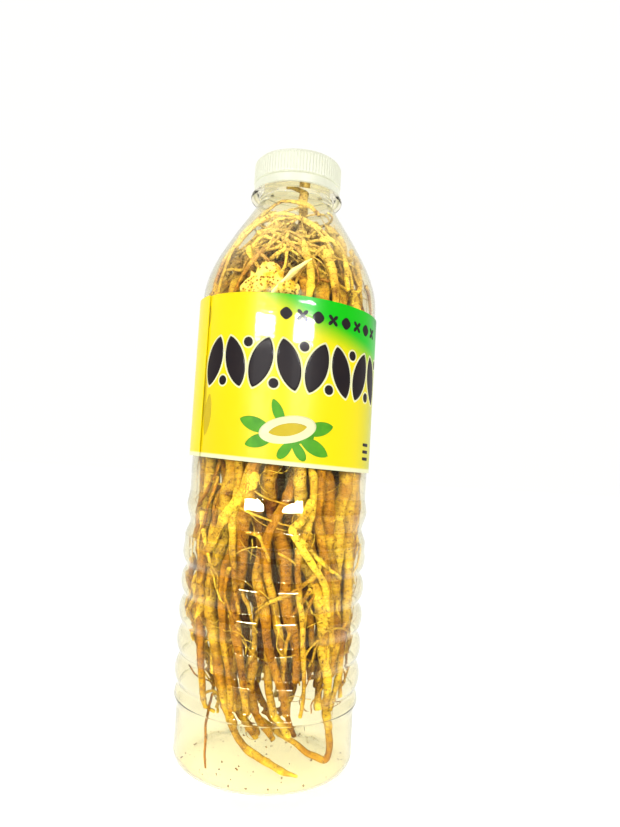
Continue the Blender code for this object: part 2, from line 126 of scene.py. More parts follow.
def calc(tree, operation, *values, clamp=False):
    """The result of one sum on numbers. MULTIPLY_ADD is the first times the second plus the third."""
    return node(tree, "Math", *values, operation=operation, use_clamp=clamp).outputs[0]


def ramp(tree, source, low, high, start=0.0, end=1.0):
    """A smooth step from start to end, while a value goes from low to high."""
    made = node(tree, "MapRange", source, low, high, start, end, interpolation_type="SMOOTHSTEP")
    return made.outputs["Result"]


# %% [markdown]
# ## Light and floor
#
# The photograph is bright and nearly shadowless: white light comes from everywhere, and two window
# panes in front throw paired highlights on the bottle. A round clear thing needs something darker at
# its sides to show its edges, so the white surroundings are dimmer there. They are dimmer behind the
# camera too, or their reflection would wash out the label. Each pane is a large soft lamp with a
# narrow, much brighter strip above it, which gives the short white dashes on the ribs.

# %% Surroundings
SKY_COLOUR = (1.0, 0.995, 0.975, 1.0)
SKY_STRENGTH, SKY_SIDES, SKY_FRONT = 1.02, 0.72, 0.62
SIDES_FROM, SIDES_TO, FRONT_FROM, FRONT_TO = 0.60, 0.97, -0.55, 0.25

world = bpy.data.worlds.new("white_room")
world.use_nodes = True
sky = world.node_tree
sky.nodes.clear()
direction = node(sky, "SeparateXYZ", node(sky, "TexCoord").outputs["Generated"])
sideways = calc(sky, "ABSOLUTE", direction.outputs["X"])
at_sides = ramp(sky, sideways, SIDES_FROM, SIDES_TO, SKY_STRENGTH, SKY_SIDES)
at_front = ramp(sky, direction.outputs["Y"], FRONT_FROM, FRONT_TO, SKY_FRONT, 1.0)
background = node(sky, "Background", SKY_COLOUR, calc(sky, "MULTIPLY", at_sides, at_front))
node(sky, "OutputWorld", background.outputs[0])
bpy.context.scene.world = world

# %% Window panes
LAMP_DISTANCE = 1.0
LAMP_AIM = (0.0, 0.0, 0.105)


def lamp(name, azimuth, elevation, width, height, radiance, only_gloss=False):
    """A rectangular lamp that faces the bottle. Angles are in degrees, and azimuth 0 is the camera's side.

    A flat lamp's power is its radiance times its area times pi.
    """
    a, e = math.radians(azimuth), math.radians(elevation)
    away = np.array([math.sin(a) * math.cos(e), -math.cos(a) * math.cos(e), math.sin(e)])
    data = bpy.data.lights.new(name, "AREA")
    data.shape = "RECTANGLE"
    data.size, data.size_y = width, height
    data.energy = radiance * width * height * math.pi
    made = bpy.data.objects.new(name, data)
    bpy.context.scene.collection.objects.link(made)
    made.location = np.array(LAMP_AIM) + LAMP_DISTANCE * away
    made.rotation_euler = (math.pi / 2 - e, 0.0, a)
    made.visible_diffuse = not only_gloss
    return made


PANES = {"left": -29.0, "right": 19.0}
PANE_WIDTH, PANE_HEIGHT, PANE_MIDDLE, PANE_RADIANCE = 0.42, 0.62, -7.0, 2.0
STRIP_HEIGHT, STRIP_ELEVATION, STRIP_RADIANCE = 0.036, 13.3, 280.0
TOP_AZIMUTH, TOP_ELEVATION, TOP_SIZE, TOP_RADIANCE = -35.0, 62.0, 0.9, 0.8

for side, azimuth in PANES.items():
    lamp("pane_" + side, azimuth, PANE_MIDDLE, PANE_WIDTH, PANE_HEIGHT, PANE_RADIANCE)
    strip = (azimuth, STRIP_ELEVATION, PANE_WIDTH, STRIP_HEIGHT, STRIP_RADIANCE)
    lamp("strip_" + side, *strip, only_gloss=True)
lamp("top", TOP_AZIMUTH, TOP_ELEVATION, TOP_SIZE, TOP_SIZE, TOP_RADIANCE)

# %% [markdown]
# ## Meshes from grids
#
# Nearly every surface here is a grid: rows along it, columns across or around it. One function
# turns such an array of points into a mesh, with the last column joined to the first when the grid
# goes all the way round, and with a pole at either end when the shape closes there.

# %% Grid helpers
def grid_quads(rows, columns, around):
    """Corner numbers of every cell of a grid whose point (i, j) is number i * columns + j."""
    last = columns if around else columns - 1
    i, j = np.meshgrid(np.arange(rows - 1), np.arange(last), indexing="ij")
    k = (j + 1) % columns
    corners = [i * columns + j, i * columns + k, (i + 1) * columns + k, (i + 1) * columns + j]
    return np.stack(corners, axis=-1).reshape(-1, 4)


def fan(pole, ring, flip):
    """Triangles from a pole to each edge of a closed ring of point numbers."""
    after = np.roll(ring, -1)
    pair = (after, ring) if flip else (ring, after)
    return np.stack([np.full(len(ring), pole), *pair], axis=-1)


def make_mesh(name, points, quads, triangles=None):
    """A mesh from whole arrays of points, four-cornered faces and three-cornered faces."""
    triangles = np.zeros((0, 3), int) if triangles is None else triangles
    corners = np.concatenate([quads.ravel(), triangles.ravel()]).astype(np.int32)
    sizes = np.concatenate([np.full(len(quads), 4), np.full(len(triangles), 3)])
    mesh = bpy.data.meshes.new(name)
    mesh.vertices.add(len(points))
    mesh.vertices.foreach_set("co", np.asarray(points, np.float32).ravel())
    mesh.loops.add(len(corners))
    mesh.loops.foreach_set("vertex_index", corners)
    mesh.polygons.add(len(sizes))
    mesh.polygons.foreach_set("loop_start", (np.cumsum(sizes) - sizes).astype(np.int32))
    mesh.update(calc_edges=True)
    mesh.validate()
    mesh.shade_smooth()
    return mesh


def joined(parts):
    """Points, quads and triangles of several surfaces as one, with the corner numbers moved on."""
    starts = np.cumsum([0] + [len(part[0]) for part in parts[:-1]])
    return (
        np.concatenate([part[0] for part in parts]),
        np.concatenate([part[1] + start for part, start in zip(parts, starts)]),
        np.concatenate([part[2] + start for part, start in zip(parts, starts)]),
    )


def show(name, mesh, look, body, replaces=()):
    """Links the mesh as a finished piece that rides on a body and stands for the CAD nodes named."""
    piece = bpy.data.objects.new(name, mesh)
    bpy.context.scene.collection.objects.link(piece)
    mesh.materials.append(look)
    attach(piece, body)
    if replaces:
        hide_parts(*replaces)
    return piece


def turned(name, profile, sides, around_profile=False, radius_change=None):
    """A profile of (radius, height) turned round Z: (r cos t, r sin t, z). A radius of 0 at an end is a pole.

    radius_change is an array (profile points, sides) added to the radius, for a knurl.
    """
    profile = np.asarray(profile, float)
    angles = 2 * math.pi * np.arange(sides) / sides
    first_pole, last_pole = profile[0, 0] < 1e-7, profile[-1, 0] < 1e-7
    rings = profile[int(first_pole) : len(profile) - int(last_pole)]
    radius = np.repeat(rings[:, :1], sides, axis=1)
    if radius_change is not None:
        radius = radius + radius_change[int(first_pole) : len(profile) - int(last_pole)]
    height = np.repeat(rings[:, 1:], sides, axis=1)
    points = np.stack([radius * np.cos(angles), radius * np.sin(angles), height], axis=-1).reshape(-1, 3)
    quads = grid_quads(len(rings), sides, True)
    if around_profile:
        ring = np.arange(sides)
        last = (len(rings) - 1) * sides + ring
        quads = np.concatenate([quads, np.stack([last, np.roll(last, -1), np.roll(ring, -1), ring], axis=-1)])
    fans = []
    ends = ((first_pole, 0, profile[0], True), (last_pole, len(rings) - 1, profile[-1], False))
    for is_pole, row, place, flip in ends:
        if is_pole:
            points = np.concatenate([points, [[0.0, 0.0, place[1]]]])
            fans.append(fan(len(points) - 1, row * sides + np.arange(sides), flip))
    return make_mesh(name, points, quads, np.concatenate(fans) if fans else None)


def faced_out(mesh):
    """Turns the faces outwards when the volume that they enclose comes out negative."""
    mesh.calc_loop_triangles()
    corners = np.empty(3 * len(mesh.loop_triangles), np.int32)
    mesh.loop_triangles.foreach_get("vertices", corners)
    places = np.empty(3 * len(mesh.vertices), np.float32)
    mesh.vertices.foreach_get("co", places)
    a, b, c = places.reshape(-1, 3)[corners.reshape(-1, 3)].transpose(1, 0, 2).astype(float)
    if (a * np.cross(b, c)).sum() < 0:
        mesh.flip_normals()
    return mesh


# %% [markdown]
# ## Finishes
#
# Two effects serve several materials, so each is a node group. "fibre skin" gives the fine rings,
# pits, specks and dry patches of a root. It reads each piece's "skin" attribute: the place on the root
# as if the root were pulled straight, so the rings always run across it, whichever way it bends.
# "scuffs" gives faint handling marks to plastic.

# %% Effect groups
def new_group(name, inputs, outputs):
    """An empty shader group with named inputs and outputs."""
    tree = bpy.data.node_groups.new(name, "ShaderNodeTree")
    for label, kind, value in inputs:
        socket = tree.interface.new_socket(label, in_out="INPUT", socket_type=kind)
        if value is not None:
            socket.default_value = value
    for label, kind in outputs:
        tree.interface.new_socket(label, in_out="OUTPUT", socket_type=kind)
    return tree, tree.nodes.new("NodeGroupInput"), tree.nodes.new("NodeGroupOutput")


FLOAT, VECTOR = "NodeSocketFloat", "NodeSocketVector"


def object_place(tree):
    """A point's place on the piece, in the piece's own coordinates."""
    return node(tree, "TexCoord").outputs["Object"]


def cloudy(tree, place, scale, detail, **settings):
    """A cloudy pattern of numbers about one half."""
    return node(tree, "TexNoise", place, Scale=scale, Detail=detail, **settings).outputs["Fac"]


def build_fibre_skin():
    """Masks of a dried root: patches of tone, cross rings, pits and specks, from the straightened place."""
    tree, given, result = new_group(
        "fibre skin",
        [("Place", VECTOR, None), ("Ring Scale", FLOAT, 900.0), ("Patch Scale", FLOAT, 110.0)],
        [("Patches", FLOAT), ("Rings", FLOAT), ("Pits", FLOAT), ("Specks", FLOAT)],
    )
    place, ring_scale, patch_scale = (given.outputs[k] for k in ("Place", "Ring Scale", "Patch Scale"))
    across = node(tree, "Mapping", place, Scale=(0.22, 0.22, 1.0)).outputs[0]
    rings = cloudy(tree, across, ring_scale, 3.0, Roughness=0.6, Distortion=0.6)
    patches = cloudy(tree, place, patch_scale, 4.0, Roughness=0.62)
    pits = node(tree, "TexVoronoi", place, Scale=720.0).outputs["Distance"]
    specks = cloudy(tree, place, 1150.0, 3.0, Roughness=0.65)
    for source, label, low, high in (
        (rings, "Rings", 0.36, 0.62),
        (patches, "Patches", 0.34, 0.66),
        (pits, "Pits", 0.05, 0.45),
        (specks, "Specks", 0.50, 0.70),
    ):
        tree.links.new(ramp(tree, source, low, high), result.inputs[label])
    return tree


def build_scuffs():
    """Faint cloudy and streaky marks on handled plastic, as one mask."""
    tree, given, result = new_group("scuffs", [("Scale", FLOAT, 60.0)], [("Marks", FLOAT)])
    stretched = node(tree, "Mapping", object_place(tree), Scale=(1.0, 1.0, 0.35)).outputs[0]
    cloud = cloudy(tree, stretched, given.outputs["Scale"], 6.0, Roughness=0.7)
    tree.links.new(ramp(tree, cloud, 0.48, 0.70), result.inputs["Marks"])
    return tree


FIBRE_SKIN, SCUFFS = build_fibre_skin(), build_scuffs()
print("effect groups:", [g.name for g in bpy.data.node_groups])

# %% Material helpers
def material(name):
    """A new material, its node tree, and its Principled shader."""
    made = bpy.data.materials.new(name)
    made.use_nodes = True
    return made, made.node_tree, made.node_tree.nodes["Principled BSDF"]


def dress(tree, shader, **values):
    """Fills the shader's sockets by name, with _ for a space."""
    for label, value in values.items():
        fill(tree, shader.inputs[label.replace("_", " ")], value)


def effect(tree, group, **values):
    """The outputs of an effect group placed in a material, with its own values."""
    made = tree.nodes.new("ShaderNodeGroup")
    made.node_tree = group
    for label, value in values.items():
        fill(tree, made.inputs[label], value)
    return made.outputs


def blend(tree, factor, low, high):
    """A mix of two colours. Each may be a colour or an output socket."""
    made = node(tree, "Mix", data_type="RGBA")
    for socket, value in ((0, factor), (6, low), (7, high)):
        fill(tree, made.inputs[socket], (*value, 1.0) if isinstance(value, tuple) else value)
    return made.outputs[2]


def weigh(tree, factor, low, high):
    """A mix of two numbers. Each may be a number or an output socket."""
    made = node(tree, "Mix", data_type="FLOAT")
    for socket, value in ((0, factor), (2, low), (3, high)):
        fill(tree, made.inputs[socket], value)
    return made.outputs[0]


def bumped(tree, height, strength, distance):
    """A normal tilted as a relief of this height would tilt it."""
    return node(tree, "Bump", Height=height, Strength=strength, Distance=distance).outputs["Normal"]


print("material helpers ready, materials so far:", len(bpy.data.materials))

# %% [markdown]
# ## Dried root
#
# The skin is golden where it is rubbed and paler on knobs and broken ends. Its dark brown is partly the
# skin's own rings and specks and partly painted shade in creases and deep in the bundle. Up under the
# shoulder the skin is painted paler and cream: painted light, where light comes through the clear wall from
# all round.
# The mesh carries the larger lumps. The rings and pits, a few tenths of a millimetre deep, are a bump.
# "tone" says how pale a root is at a place, from -0.6 to 1, and a second value how much painted shade a place
# gets, in a hollow or deep in the bundle.

# %% Root finish
# ROOT_DARK colours the skin's rings and specks and also the painted shade. The cream and the last line's
# values paint light on the roots under the shoulder.
ROOT_DARK, ROOT_GOLD, ROOT_PALE = (0.060, 0.008, 0.0004), (0.31, 0.132, 0.002), (0.84, 0.58, 0.050)
ROOT_PAINTED_LIGHT = (0.90, 0.73, 0.32)
PATCH_SHARE, RING_SHARE, SPECK_SHARE = 0.62, 0.36, 0.70
PAINTED_LIGHT_FROM, PAINTED_LIGHT_TO, PAINTED_LIGHT_SHARE, PAINTED_LIGHT_TONE = 0.160, 0.190, 0.50, 0.35


def attribute(tree, name, output="Fac"):
    """A value that the mesh carries at each of its points."""
    return node(tree, "Attribute", attribute_name=name).outputs[output]


def object_height(tree):
    """A point's height on the piece."""
    return node(tree, "SeparateXYZ", object_place(tree)).outputs["Z"]


def root_finish():
    """Gold and straw by tone and patches, painted light in cream high up, rings and painted shade darker."""
    made, tree, shader = material("dried_root")
    fibre = effect(tree, FIBRE_SKIN, Place=attribute(tree, "skin", "Vector"))
    # Painted light: from this height up to the shoulder the skin is painted paler and cream.
    high = ramp(tree, object_height(tree), PAINTED_LIGHT_FROM, PAINTED_LIGHT_TO)
    tone = calc(tree, "MULTIPLY_ADD", high, PAINTED_LIGHT_TONE, attribute(tree, "tone"))
    paler = calc(tree, "MULTIPLY_ADD", fibre["Patches"], PATCH_SHARE, tone, clamp=True)
    base = blend(tree, paler, ROOT_GOLD, ROOT_PALE)
    base = blend(tree, calc(tree, "MULTIPLY", high, PAINTED_LIGHT_SHARE), base, ROOT_PAINTED_LIGHT)
    off_rings = calc(tree, "SUBTRACT", 1.0, fibre["Rings"], clamp=True)
    # The mesh value read here is painted shade, in hollows and deep in the bundle. The specks are the skin's
    # own.
    hollow = calc(tree, "MULTIPLY_ADD", fibre["Specks"], SPECK_SHARE, attribute(tree, "painted_shade"))
    darker = calc(tree, "MULTIPLY_ADD", off_rings, RING_SHARE, hollow, clamp=True)
    relief = weigh(tree, 0.25, fibre["Rings"], fibre["Pits"])
    dress(
        tree,
        shader,
        Base_Color=blend(tree, darker, base, ROOT_DARK),
        Roughness=weigh(tree, fibre["Patches"], 0.72, 0.50),
        Specular_IOR_Level=0.07,
        Normal=bumped(tree, relief, 0.6, 0.00018),
    )
    return made


dried_root = root_finish()

# %% [markdown]
# ## Where the roots run
#
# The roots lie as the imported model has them, so the same rule places them here. Each strand is a disc
# at every level of a stack of levels. The discs start on a wished-for line and are moved apart until
# none touches another or the wall, while each line stays smooth.

# %% Bottle sizes
RIB_RADIUS, PANEL_RADIUS, HEEL_RADIUS, WALL = 0.0326, 0.0316, 0.0312, 0.0005
FOOT_INNER, FOOT_OUTER, HEEL_ROUND, HEEL_TOP, BASE_DOME = 0.0252, 0.0270, 0.0043, 0.0205, 0.0070
RIB_START, RIB_PITCH, RIB_COUNT, RIB_DEPTH, RIB_HALF = 0.0258, 0.0101, 5, 0.00125, 0.0034
GRIP_Z, GRIP_HALF, GRIP_DEPTH = 0.0815, 0.0064, 0.0016
PANEL_FROM, PANEL_TO = 0.0925, 0.1600
SHOULDER_TOP_RADIUS, SHOULDER_TOP, BORE_RADIUS, RING_LOW = 0.0140, 0.1980, 0.0115, 0.2002
GROOVES = [(RIB_START + rib * RIB_PITCH, RIB_HALF, RIB_DEPTH) for rib in range(RIB_COUNT)]
GROOVES.append((GRIP_Z, GRIP_HALF, GRIP_DEPTH))
CAD_SIDES, CAD_SHOULDER_STEPS = 32, 6


def shoulder(count):
    """Points on the shoulder: a cubic curve that leaves the panel upright and runs in to the neck.

    With weights (1-t)^3, 3t(1-t)^2, 3t^2(1-t) and t^3 on its four corner points.
    """
    t = np.arange(1, count + 1)[:, None] / count
    corners = np.array([
        (PANEL_RADIUS, PANEL_TO),
        (PANEL_RADIUS, PANEL_TO + 0.012),
        (0.75 * PANEL_RADIUS, SHOULDER_TOP - 0.016),
        (SHOULDER_TOP_RADIUS, SHOULDER_TOP),
    ])
    weights = ((1 - t) ** 3, 3 * t * (1 - t) ** 2, 3 * t * t * (1 - t), t ** 3)
    return sum(weight * place for weight, place in zip(weights, corners))


def inward(profile, distance):
    """The profile moved square to its own run, towards the bottle's inside."""
    run = np.empty_like(profile)
    run[1:-1] = profile[2:] - profile[:-2]
    run[0], run[-1] = profile[1] - profile[0], profile[-1] - profile[-2]
    run /= np.linalg.norm(run, axis=1, keepdims=True)
    moved = profile + distance * np.stack([-run[:, 1], run[:, 0]], axis=1)
    moved[:, 0] = np.maximum(moved[:, 0], 0.0)
    return moved


# %% The wall that the roots are kept inside
def cad_inside():
    """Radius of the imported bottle's inside as arrays of height and radius, as its flat sides leave it."""
    points = [(FOOT_INNER, 0.0), (FOOT_OUTER, 0.0)]
    for step in range(1, 4):
        turn = math.radians(30 * step)
        points.append((FOOT_OUTER + HEEL_ROUND * math.sin(turn), HEEL_ROUND * (1 - math.cos(turn))))
    points.append((HEEL_RADIUS, HEEL_TOP))
    for middle, half, depth in GROOVES:
        points += [(RIB_RADIUS, middle - half), (RIB_RADIUS - depth, middle), (RIB_RADIUS, middle + half)]
    points += [(PANEL_RADIUS, PANEL_FROM), (PANEL_RADIUS, PANEL_TO)]
    points = np.concatenate([np.array(points), shoulder(CAD_SHOULDER_STEPS)])
    inner = inward(points, WALL)
    inner = np.concatenate([inner[inner[:, 1] > HEEL_ROUND], [[BORE_RADIUS, RING_LOW]]])
    return inner[:, 1], inner[:, 0] * math.cos(math.pi / CAD_SIDES)


INSIDE_HEIGHT, INSIDE_RADIUS = cad_inside()


def inner_radius(height):
    """The radius of the bottle's inside at a height, or at an array of heights."""
    return np.interp(height, INSIDE_HEIGHT, INSIDE_RADIUS)


print("inside radius at the label:", round(float(inner_radius(0.13)), 5))

# %% The roots' own sizes
# Lengths are in metres, but the tables of places below are in millimetres, as they were measured.
SEED = 11
LEVEL_LOW, LEVEL_STEP, LEVEL_COUNT = 0.0240, 0.0105, 17
ROOT_CLEARANCE = 0.00050
CORE_ROOTS = 25
FRONT_DEPTH, ROOT_ROOM = 0.0275, 0.0035
TIP_SHARE = 0.55
SHOULDER_LEVEL, SHOULDER_ROOM = 14, 0.0040
WALL_GAP = 0.00015
RELAX_ROUNDS, SETTLE_ROUNDS = 420, 480
ROOTLET_RADIUS = 0.00075

# Roots that show at the front, each as (thickness at its top, crown's extra width, top level, then
# (height, sideways place) from the top down). Places are in millimetres, as seen by someone facing the label.
FRONT_ROOTS = (
    (5.0, 0, 14, ((170, -17), (140, -20), (104, -11), (81, -16), (70, -21), (61, -22), (45, -18), (26, -12))),
    (4.2, 0, 13, ((165, -9), (140, -10), (103, -11), (88, -8), (61, -4), (46, -1), (37, 5), (28, 7))),
    (4.4, 0, 13, ((160, -13), (130, -16), (104, -7), (83, -9), (73, -13), (60, -13), (45, -10), (30, -6))),
    (5.2, 7, 14, ((171, -3), (140, -1), (103, -3), (81, -1), (74, 3), (60, 4), (45, 9), (34, 10))),
    (5.2, 0, 15, ((182, 7), (140, 11), (103, 13), (93, 14), (71, 20), (62, 21), (50, 22), (38, 20))),
    (4.6, 0, 15, ((181, 13), (140, 20), (104, 24), (82, 19), (71, 20), (57, 24), (46, 22), (30, 19))),
    (4.6, 0, 12, ((150, 5), (104, 6), (84, 7), (78, 9), (67, 15), (55, 17), (36, 20), (26, 20))),
    (3.8, 0, 13, ((158, -23), (120, -24), (100, -23), (80, -24), (62, -25), (50, -22), (36, -17))),
    (4.2, 0, 14, ((172, 20), (150, 25), (104, 27), (80, 25), (66, 26), (56, 27), (44, 22))),
    (3.4, 0, 16, ((192, 3), (175, 2), (160, 3), (110, 9), (90, 2), (80, -5), (66, -3), (50, 4))),
)
# Where a root goes on below the levels or above them, as points in millimetres from the levels outward.
TAILS = {
    0: ((-9.8, -22.8, 17.8), (-5.8, -22.8, 12.6), (0.0, -22.6, 8.4), (6.0, -22.4, 5.4), (11.5, -21.9, 3.4)),
    6: (
        (22.0, -13.5, 14.0),
        (22.6, -13.3, 8.5),
        (21.5, -13.5, 5.0),
        (16.5, -13.6, 6.4),
        (10.5, -13.6, 10.4),
        (4.0, -13.4, 14.4),
        (-1.5, -13.2, 18.2),
    ),
}
TAIL_TAPER, TAIL_LEAST, TAIL_TIP = 0.94, 0.0008, 0.4
HEADS = {9: ((2.6, -6.4, 198.5), (3.3, -6.8, 202.6), (0.9, -7.1, 205.2), (-3.2, -7.0, 206.0))}
# Thin rootlets that lie along the inside of the shoulder, as (distance from the wall, then (angle,
# height)), in millimetres and degrees.
ROOTLETS = (
    (1.2, ((214, 178), (224, 184), (238, 188), (254, 190), (270, 189), (284, 186), (294, 181), (302, 175))),
    (1.2, ((300, 191), (286, 194), (268, 195), (250, 195), (234, 193), (220, 188), (208, 182), (200, 175))),
    (3.1, ((229, 175), (238, 180), (250, 183), (266, 183), (279, 181), (289, 176))),
    (3.1, ((317, 175), (309, 180), (298, 185), (284, 188), (268, 189), (252, 188), (240, 185))),
    (1.2, ((322, 175), (331, 180), (343, 182), (355, 180), (364, 175))),
)


# %% Every strand before it is moved
NARROW_SHARE, NARROW_FROM, NARROW_RUN = 0.60, 0.020, 0.055


def narrowing(heights):
    """The share of its width that the bundle keeps: 0.6 at the bottom, rising to 1 from 75 mm up."""
    return NARROW_SHARE + (1 - NARROW_SHARE) * np.clip((heights - NARROW_FROM) / NARROW_RUN, 0.0, 1.0)


def planned_strands(draw):
    """Every strand before it is moved: levels, thickness, wished-for line, and the strand it grows from."""
    heights = LEVEL_LOW + LEVEL_STEP * np.arange(LEVEL_COUNT)
    nearby = LEVEL_STEP * np.linspace(-0.5, 0.5, 9)
    room = np.array([inner_radius(z + nearby).min() for z in heights])
    room[SHOULDER_LEVEL:] -= SHOULDER_ROOM
    narrow = narrowing(heights)
    strands = []
    for thickness, crown, top, places in FRONT_ROOTS:
        down = sorted(places)
        sideways = np.interp(heights, [z / 1000 for z, _ in down], [x / 1000 for _, x in down])
        reach = np.minimum(FRONT_DEPTH, room - ROOT_ROOM)
        sideways = np.clip(sideways, -0.96 * reach, 0.96 * reach)
        line = np.stack([sideways, -np.sqrt(reach ** 2 - sideways ** 2)], axis=1)
        low = 1 if min(z for z, _ in places) > 33 else 0
        strand = {"line": line, "top": top, "low": low, "thick": thickness / 2000, "crown": crown / 2000}
        strands.append(strand | {"pull": 0.30})
    for i in range(CORE_ROOTS):
        rank = (i + 0.5) / CORE_ROOTS
        angle = i * math.pi * (3 - math.sqrt(5)) + draw.uniform(-0.2, 0.2)
        share = 0.16 + 0.84 * math.sqrt(rank)
        if math.sin(angle) < -0.35 and share > 0.72:
            share *= 0.72
        swing = draw.uniform(0.10, 0.42)
        wave = draw.uniform(0.050, 0.110)
        phase = draw.uniform(0.0, 2 * math.pi)
        drift = draw.uniform(-3.4, 3.4)
        turn = angle + swing * np.sin(2 * math.pi * heights / wave + phase) + drift * (heights - 0.1)
        reach = share * (room - ROOT_ROOM) * narrow
        line = np.stack([reach * np.cos(turn) + 0.010 * (1 - narrow), reach * np.sin(turn)], axis=1)
        line += draw.normal(0.0, 0.0011, line.shape)
        top = int(draw.integers(13, 17)) if share < 0.75 else int(draw.integers(12, 16))
        low = int(draw.integers(0, 3))
        thick = draw.uniform(1.7, 2.6) / 1000
        crown = 0.0017 if draw.random() < 0.45 and top < 16 else 0.0
        strands.append({"line": line, "top": top, "low": low, "thick": thick, "crown": crown, "pull": 0.10})
    for parent in range(len(strands)):
        stem = strands[parent]
        for _ in range(1 if draw.random() < 0.86 else 2):
            fork = int(draw.integers(6, stem["top"] - 1))
            lean = draw.uniform(-0.010, 0.010, 2)
            below = np.clip((heights[fork] - heights) / 0.04, 0.0, 1.0)
            line = stem["line"] * 0.96 + below[:, None] * lean
            low = int(draw.integers(0, 4))
            strand = {"line": line, "top": fork, "low": low, "thick": 0.66 * stem["thick"], "crown": 0.0}
            strands.append(strand | {"pull": 0.04, "parent": parent})
    return heights, room, strands


def strand_radii(strand, heights):
    """A strand's radius at each level: a little thicker at a crown, thinning towards its tip."""
    top, low = strand["top"], strand["low"]
    along = np.clip((heights - heights[low]) / (heights[top] - heights[low]), 0.0, 1.0)
    radii = strand["thick"] * (TIP_SHARE + (1 - TIP_SHARE) * np.minimum(along / 0.40, 1.0))
    return radii + strand["crown"] * np.clip((heights - heights[top] + 0.012) / 0.012, 0.0, 1.0)


# %% Move the discs apart
def pushed_apart(places, radii, active, need_share, walls):
    """One round of moves that takes overlapping discs apart and keeps every disc inside its wall."""
    slope = np.zeros(radii.shape)
    steps = np.hypot(np.diff(places[:, :, 0], axis=1), np.diff(places[:, :, 1], axis=1)) / LEVEL_STEP
    slope[:, :-1] = steps
    slope[:, 1:] = np.maximum(slope[:, 1:], steps)
    wide = radii * np.sqrt(1 + np.minimum(slope, 1.2) ** 2)
    both = active[:, None, :] & active[None, :, :]
    gap = places[:, None] - places[None, :]
    far = np.hypot(gap[..., 0], gap[..., 1]) + 1e-9
    need = (wide[:, None] + wide[None, :] + ROOT_CLEARANCE) * need_share
    short = np.where(both, np.maximum(need - far, 0.0), 0.0)
    places = places + 0.5 * (gap * (short / far)[..., None]).sum(axis=1)
    between = 0.5 * (places[:, :-1] + places[:, 1:])
    both = both[:, :, :-1] & both[:, :, 1:]
    gap = between[:, None] - between[None, :]
    far = np.hypot(gap[..., 0], gap[..., 1]) + 1e-9
    need = 0.5 * (need[:, :, :-1] + need[:, :, 1:])
    short = np.where(both, np.maximum(need - far, 0.0), 0.0)
    move = 0.5 * (gap * (short / far)[..., None]).sum(axis=1)
    places[:, :-1] += 0.5 * move
    places[:, 1:] += 0.5 * move
    out = np.hypot(places[..., 0], places[..., 1]) + 1e-9
    limit = walls[None, :] - wide - ROOT_CLEARANCE
    return places * np.minimum(1.0, limit / out)[..., None]


def settled_places(heights, room, strands, draw):
    """Moves every strand's discs until they are clear of each other, while each line stays smooth."""
    count = len(strands)
    places = np.array([s["line"] for s in strands]) + draw.normal(0.0, 0.0004, (count, LEVEL_COUNT, 2))
    wished = places.copy()
    radii = np.array([strand_radii(s, heights) for s in strands])
    level = np.arange(LEVEL_COUNT)
    active = np.array([(level >= s["low"]) & (level <= s["top"]) for s in strands])
    pull = np.array([s["pull"] for s in strands])[:, None, None]
    need_share = np.ones((count, count, LEVEL_COUNT))
    need_share[np.arange(count), np.arange(count)] = 0.0
    for i, strand in enumerate(strands):
        parent = strand.get("parent")
        if parent is None:
            continue
        family = [parent] + [j for j, s in enumerate(strands) if s.get("parent") == parent and j != i]
        for other in family:
            fork = min(strand["top"], strands[other]["top"]) if other != parent else strand["top"]
            share = np.clip((fork - level - 0.15) / 1.2, 0.0, 1.0)
            need_share[i, other] = need_share[other, i] = share
    for turn in range(RELAX_ROUNDS + SETTLE_ROUNDS):
        loose = max(1.0 - turn / RELAX_ROUNDS, 0.0)
        if loose > 0:
            places = places + loose * pull * (wished - places)
            middle = 0.5 * (places[:, :-2] + places[:, 2:]) - places[:, 1:-1]
            places[:, 1:-1] += 0.16 * loose * middle
        for i, strand in enumerate(strands):
            if "parent" in strand:
                places[i, strand["top"]] = places[strand["parent"], strand["top"]]
        places = pushed_apart(places, radii, active, need_share, room)
    return places, radii


root_draw = np.random.default_rng(SEED)
heights, room, strands = planned_strands(root_draw)
places, radii = settled_places(heights, room, strands, root_draw)
print("strands:", len(strands))

# %% [markdown]
# ## Root surfaces
#
# A root is a ring carried along a path. The path is a smooth curve through the strand's discs, with
# small wanders of its own. Seen along the root, the ring's radius swells at knots and sinks into
# furrows: a few waves that run along and around it at random slants, so no two places look alike. The
# ends are drawn in over a rounded cap.

# %% Curves through points
def eased(height, low, high):
    """0 below low, 1 above high, and a smooth step 3x^2 - 2x^3 between."""
    x = np.clip((height - low) / (high - low), 0.0, 1.0)
    return x * x * (3 - 2 * x)


def smooth_line(points, spacing, *carried):
    """A curve through the points, sampled about every `spacing`, with values carried along it.

    Between two neighbours it is the cubic that has, at each, the slope from the point before to the
    point after. Distance run is the time. Returns the distance, the curve and each carried value.
    """
    points = np.asarray(points, float)
    run = np.concatenate([[0.0], np.cumsum(np.linalg.norm(np.diff(points, axis=0), axis=1))])
    slope = np.gradient(points, run, axis=0)
    at = np.linspace(0.0, run[-1], max(int(run[-1] / spacing), 5))
    k = np.clip(np.searchsorted(run, at, side="right") - 1, 0, len(run) - 2)
    span = (run[k + 1] - run[k])[:, None]
    t = (at - run[k])[:, None] / span
    curve = (
        (1 + 2 * t) * (1 - t) ** 2 * points[k]
        + t * (1 - t) ** 2 * span * slope[k]
        + t * t * (3 - 2 * t) * points[k + 1]
        - t * t * (1 - t) * span * slope[k + 1]
    )
    return (at, curve, *[np.interp(at, run, value) for value in carried])


def wander(draw, at, wavelength, size, columns=1):
    """Smooth random numbers along `at`: random knots every wavelength, eased between by a cosine."""
    knots = draw.normal(0.0, size, (int(at[-1] / wavelength) + 3, columns))
    place = at / wavelength + draw.uniform(0.0, 1.0)
    k = place.astype(int)
    ease = (0.5 - 0.5 * np.cos(math.pi * (place - k)))[:, None]
    return knots[k] * (1 - ease) + knots[k + 1] * ease


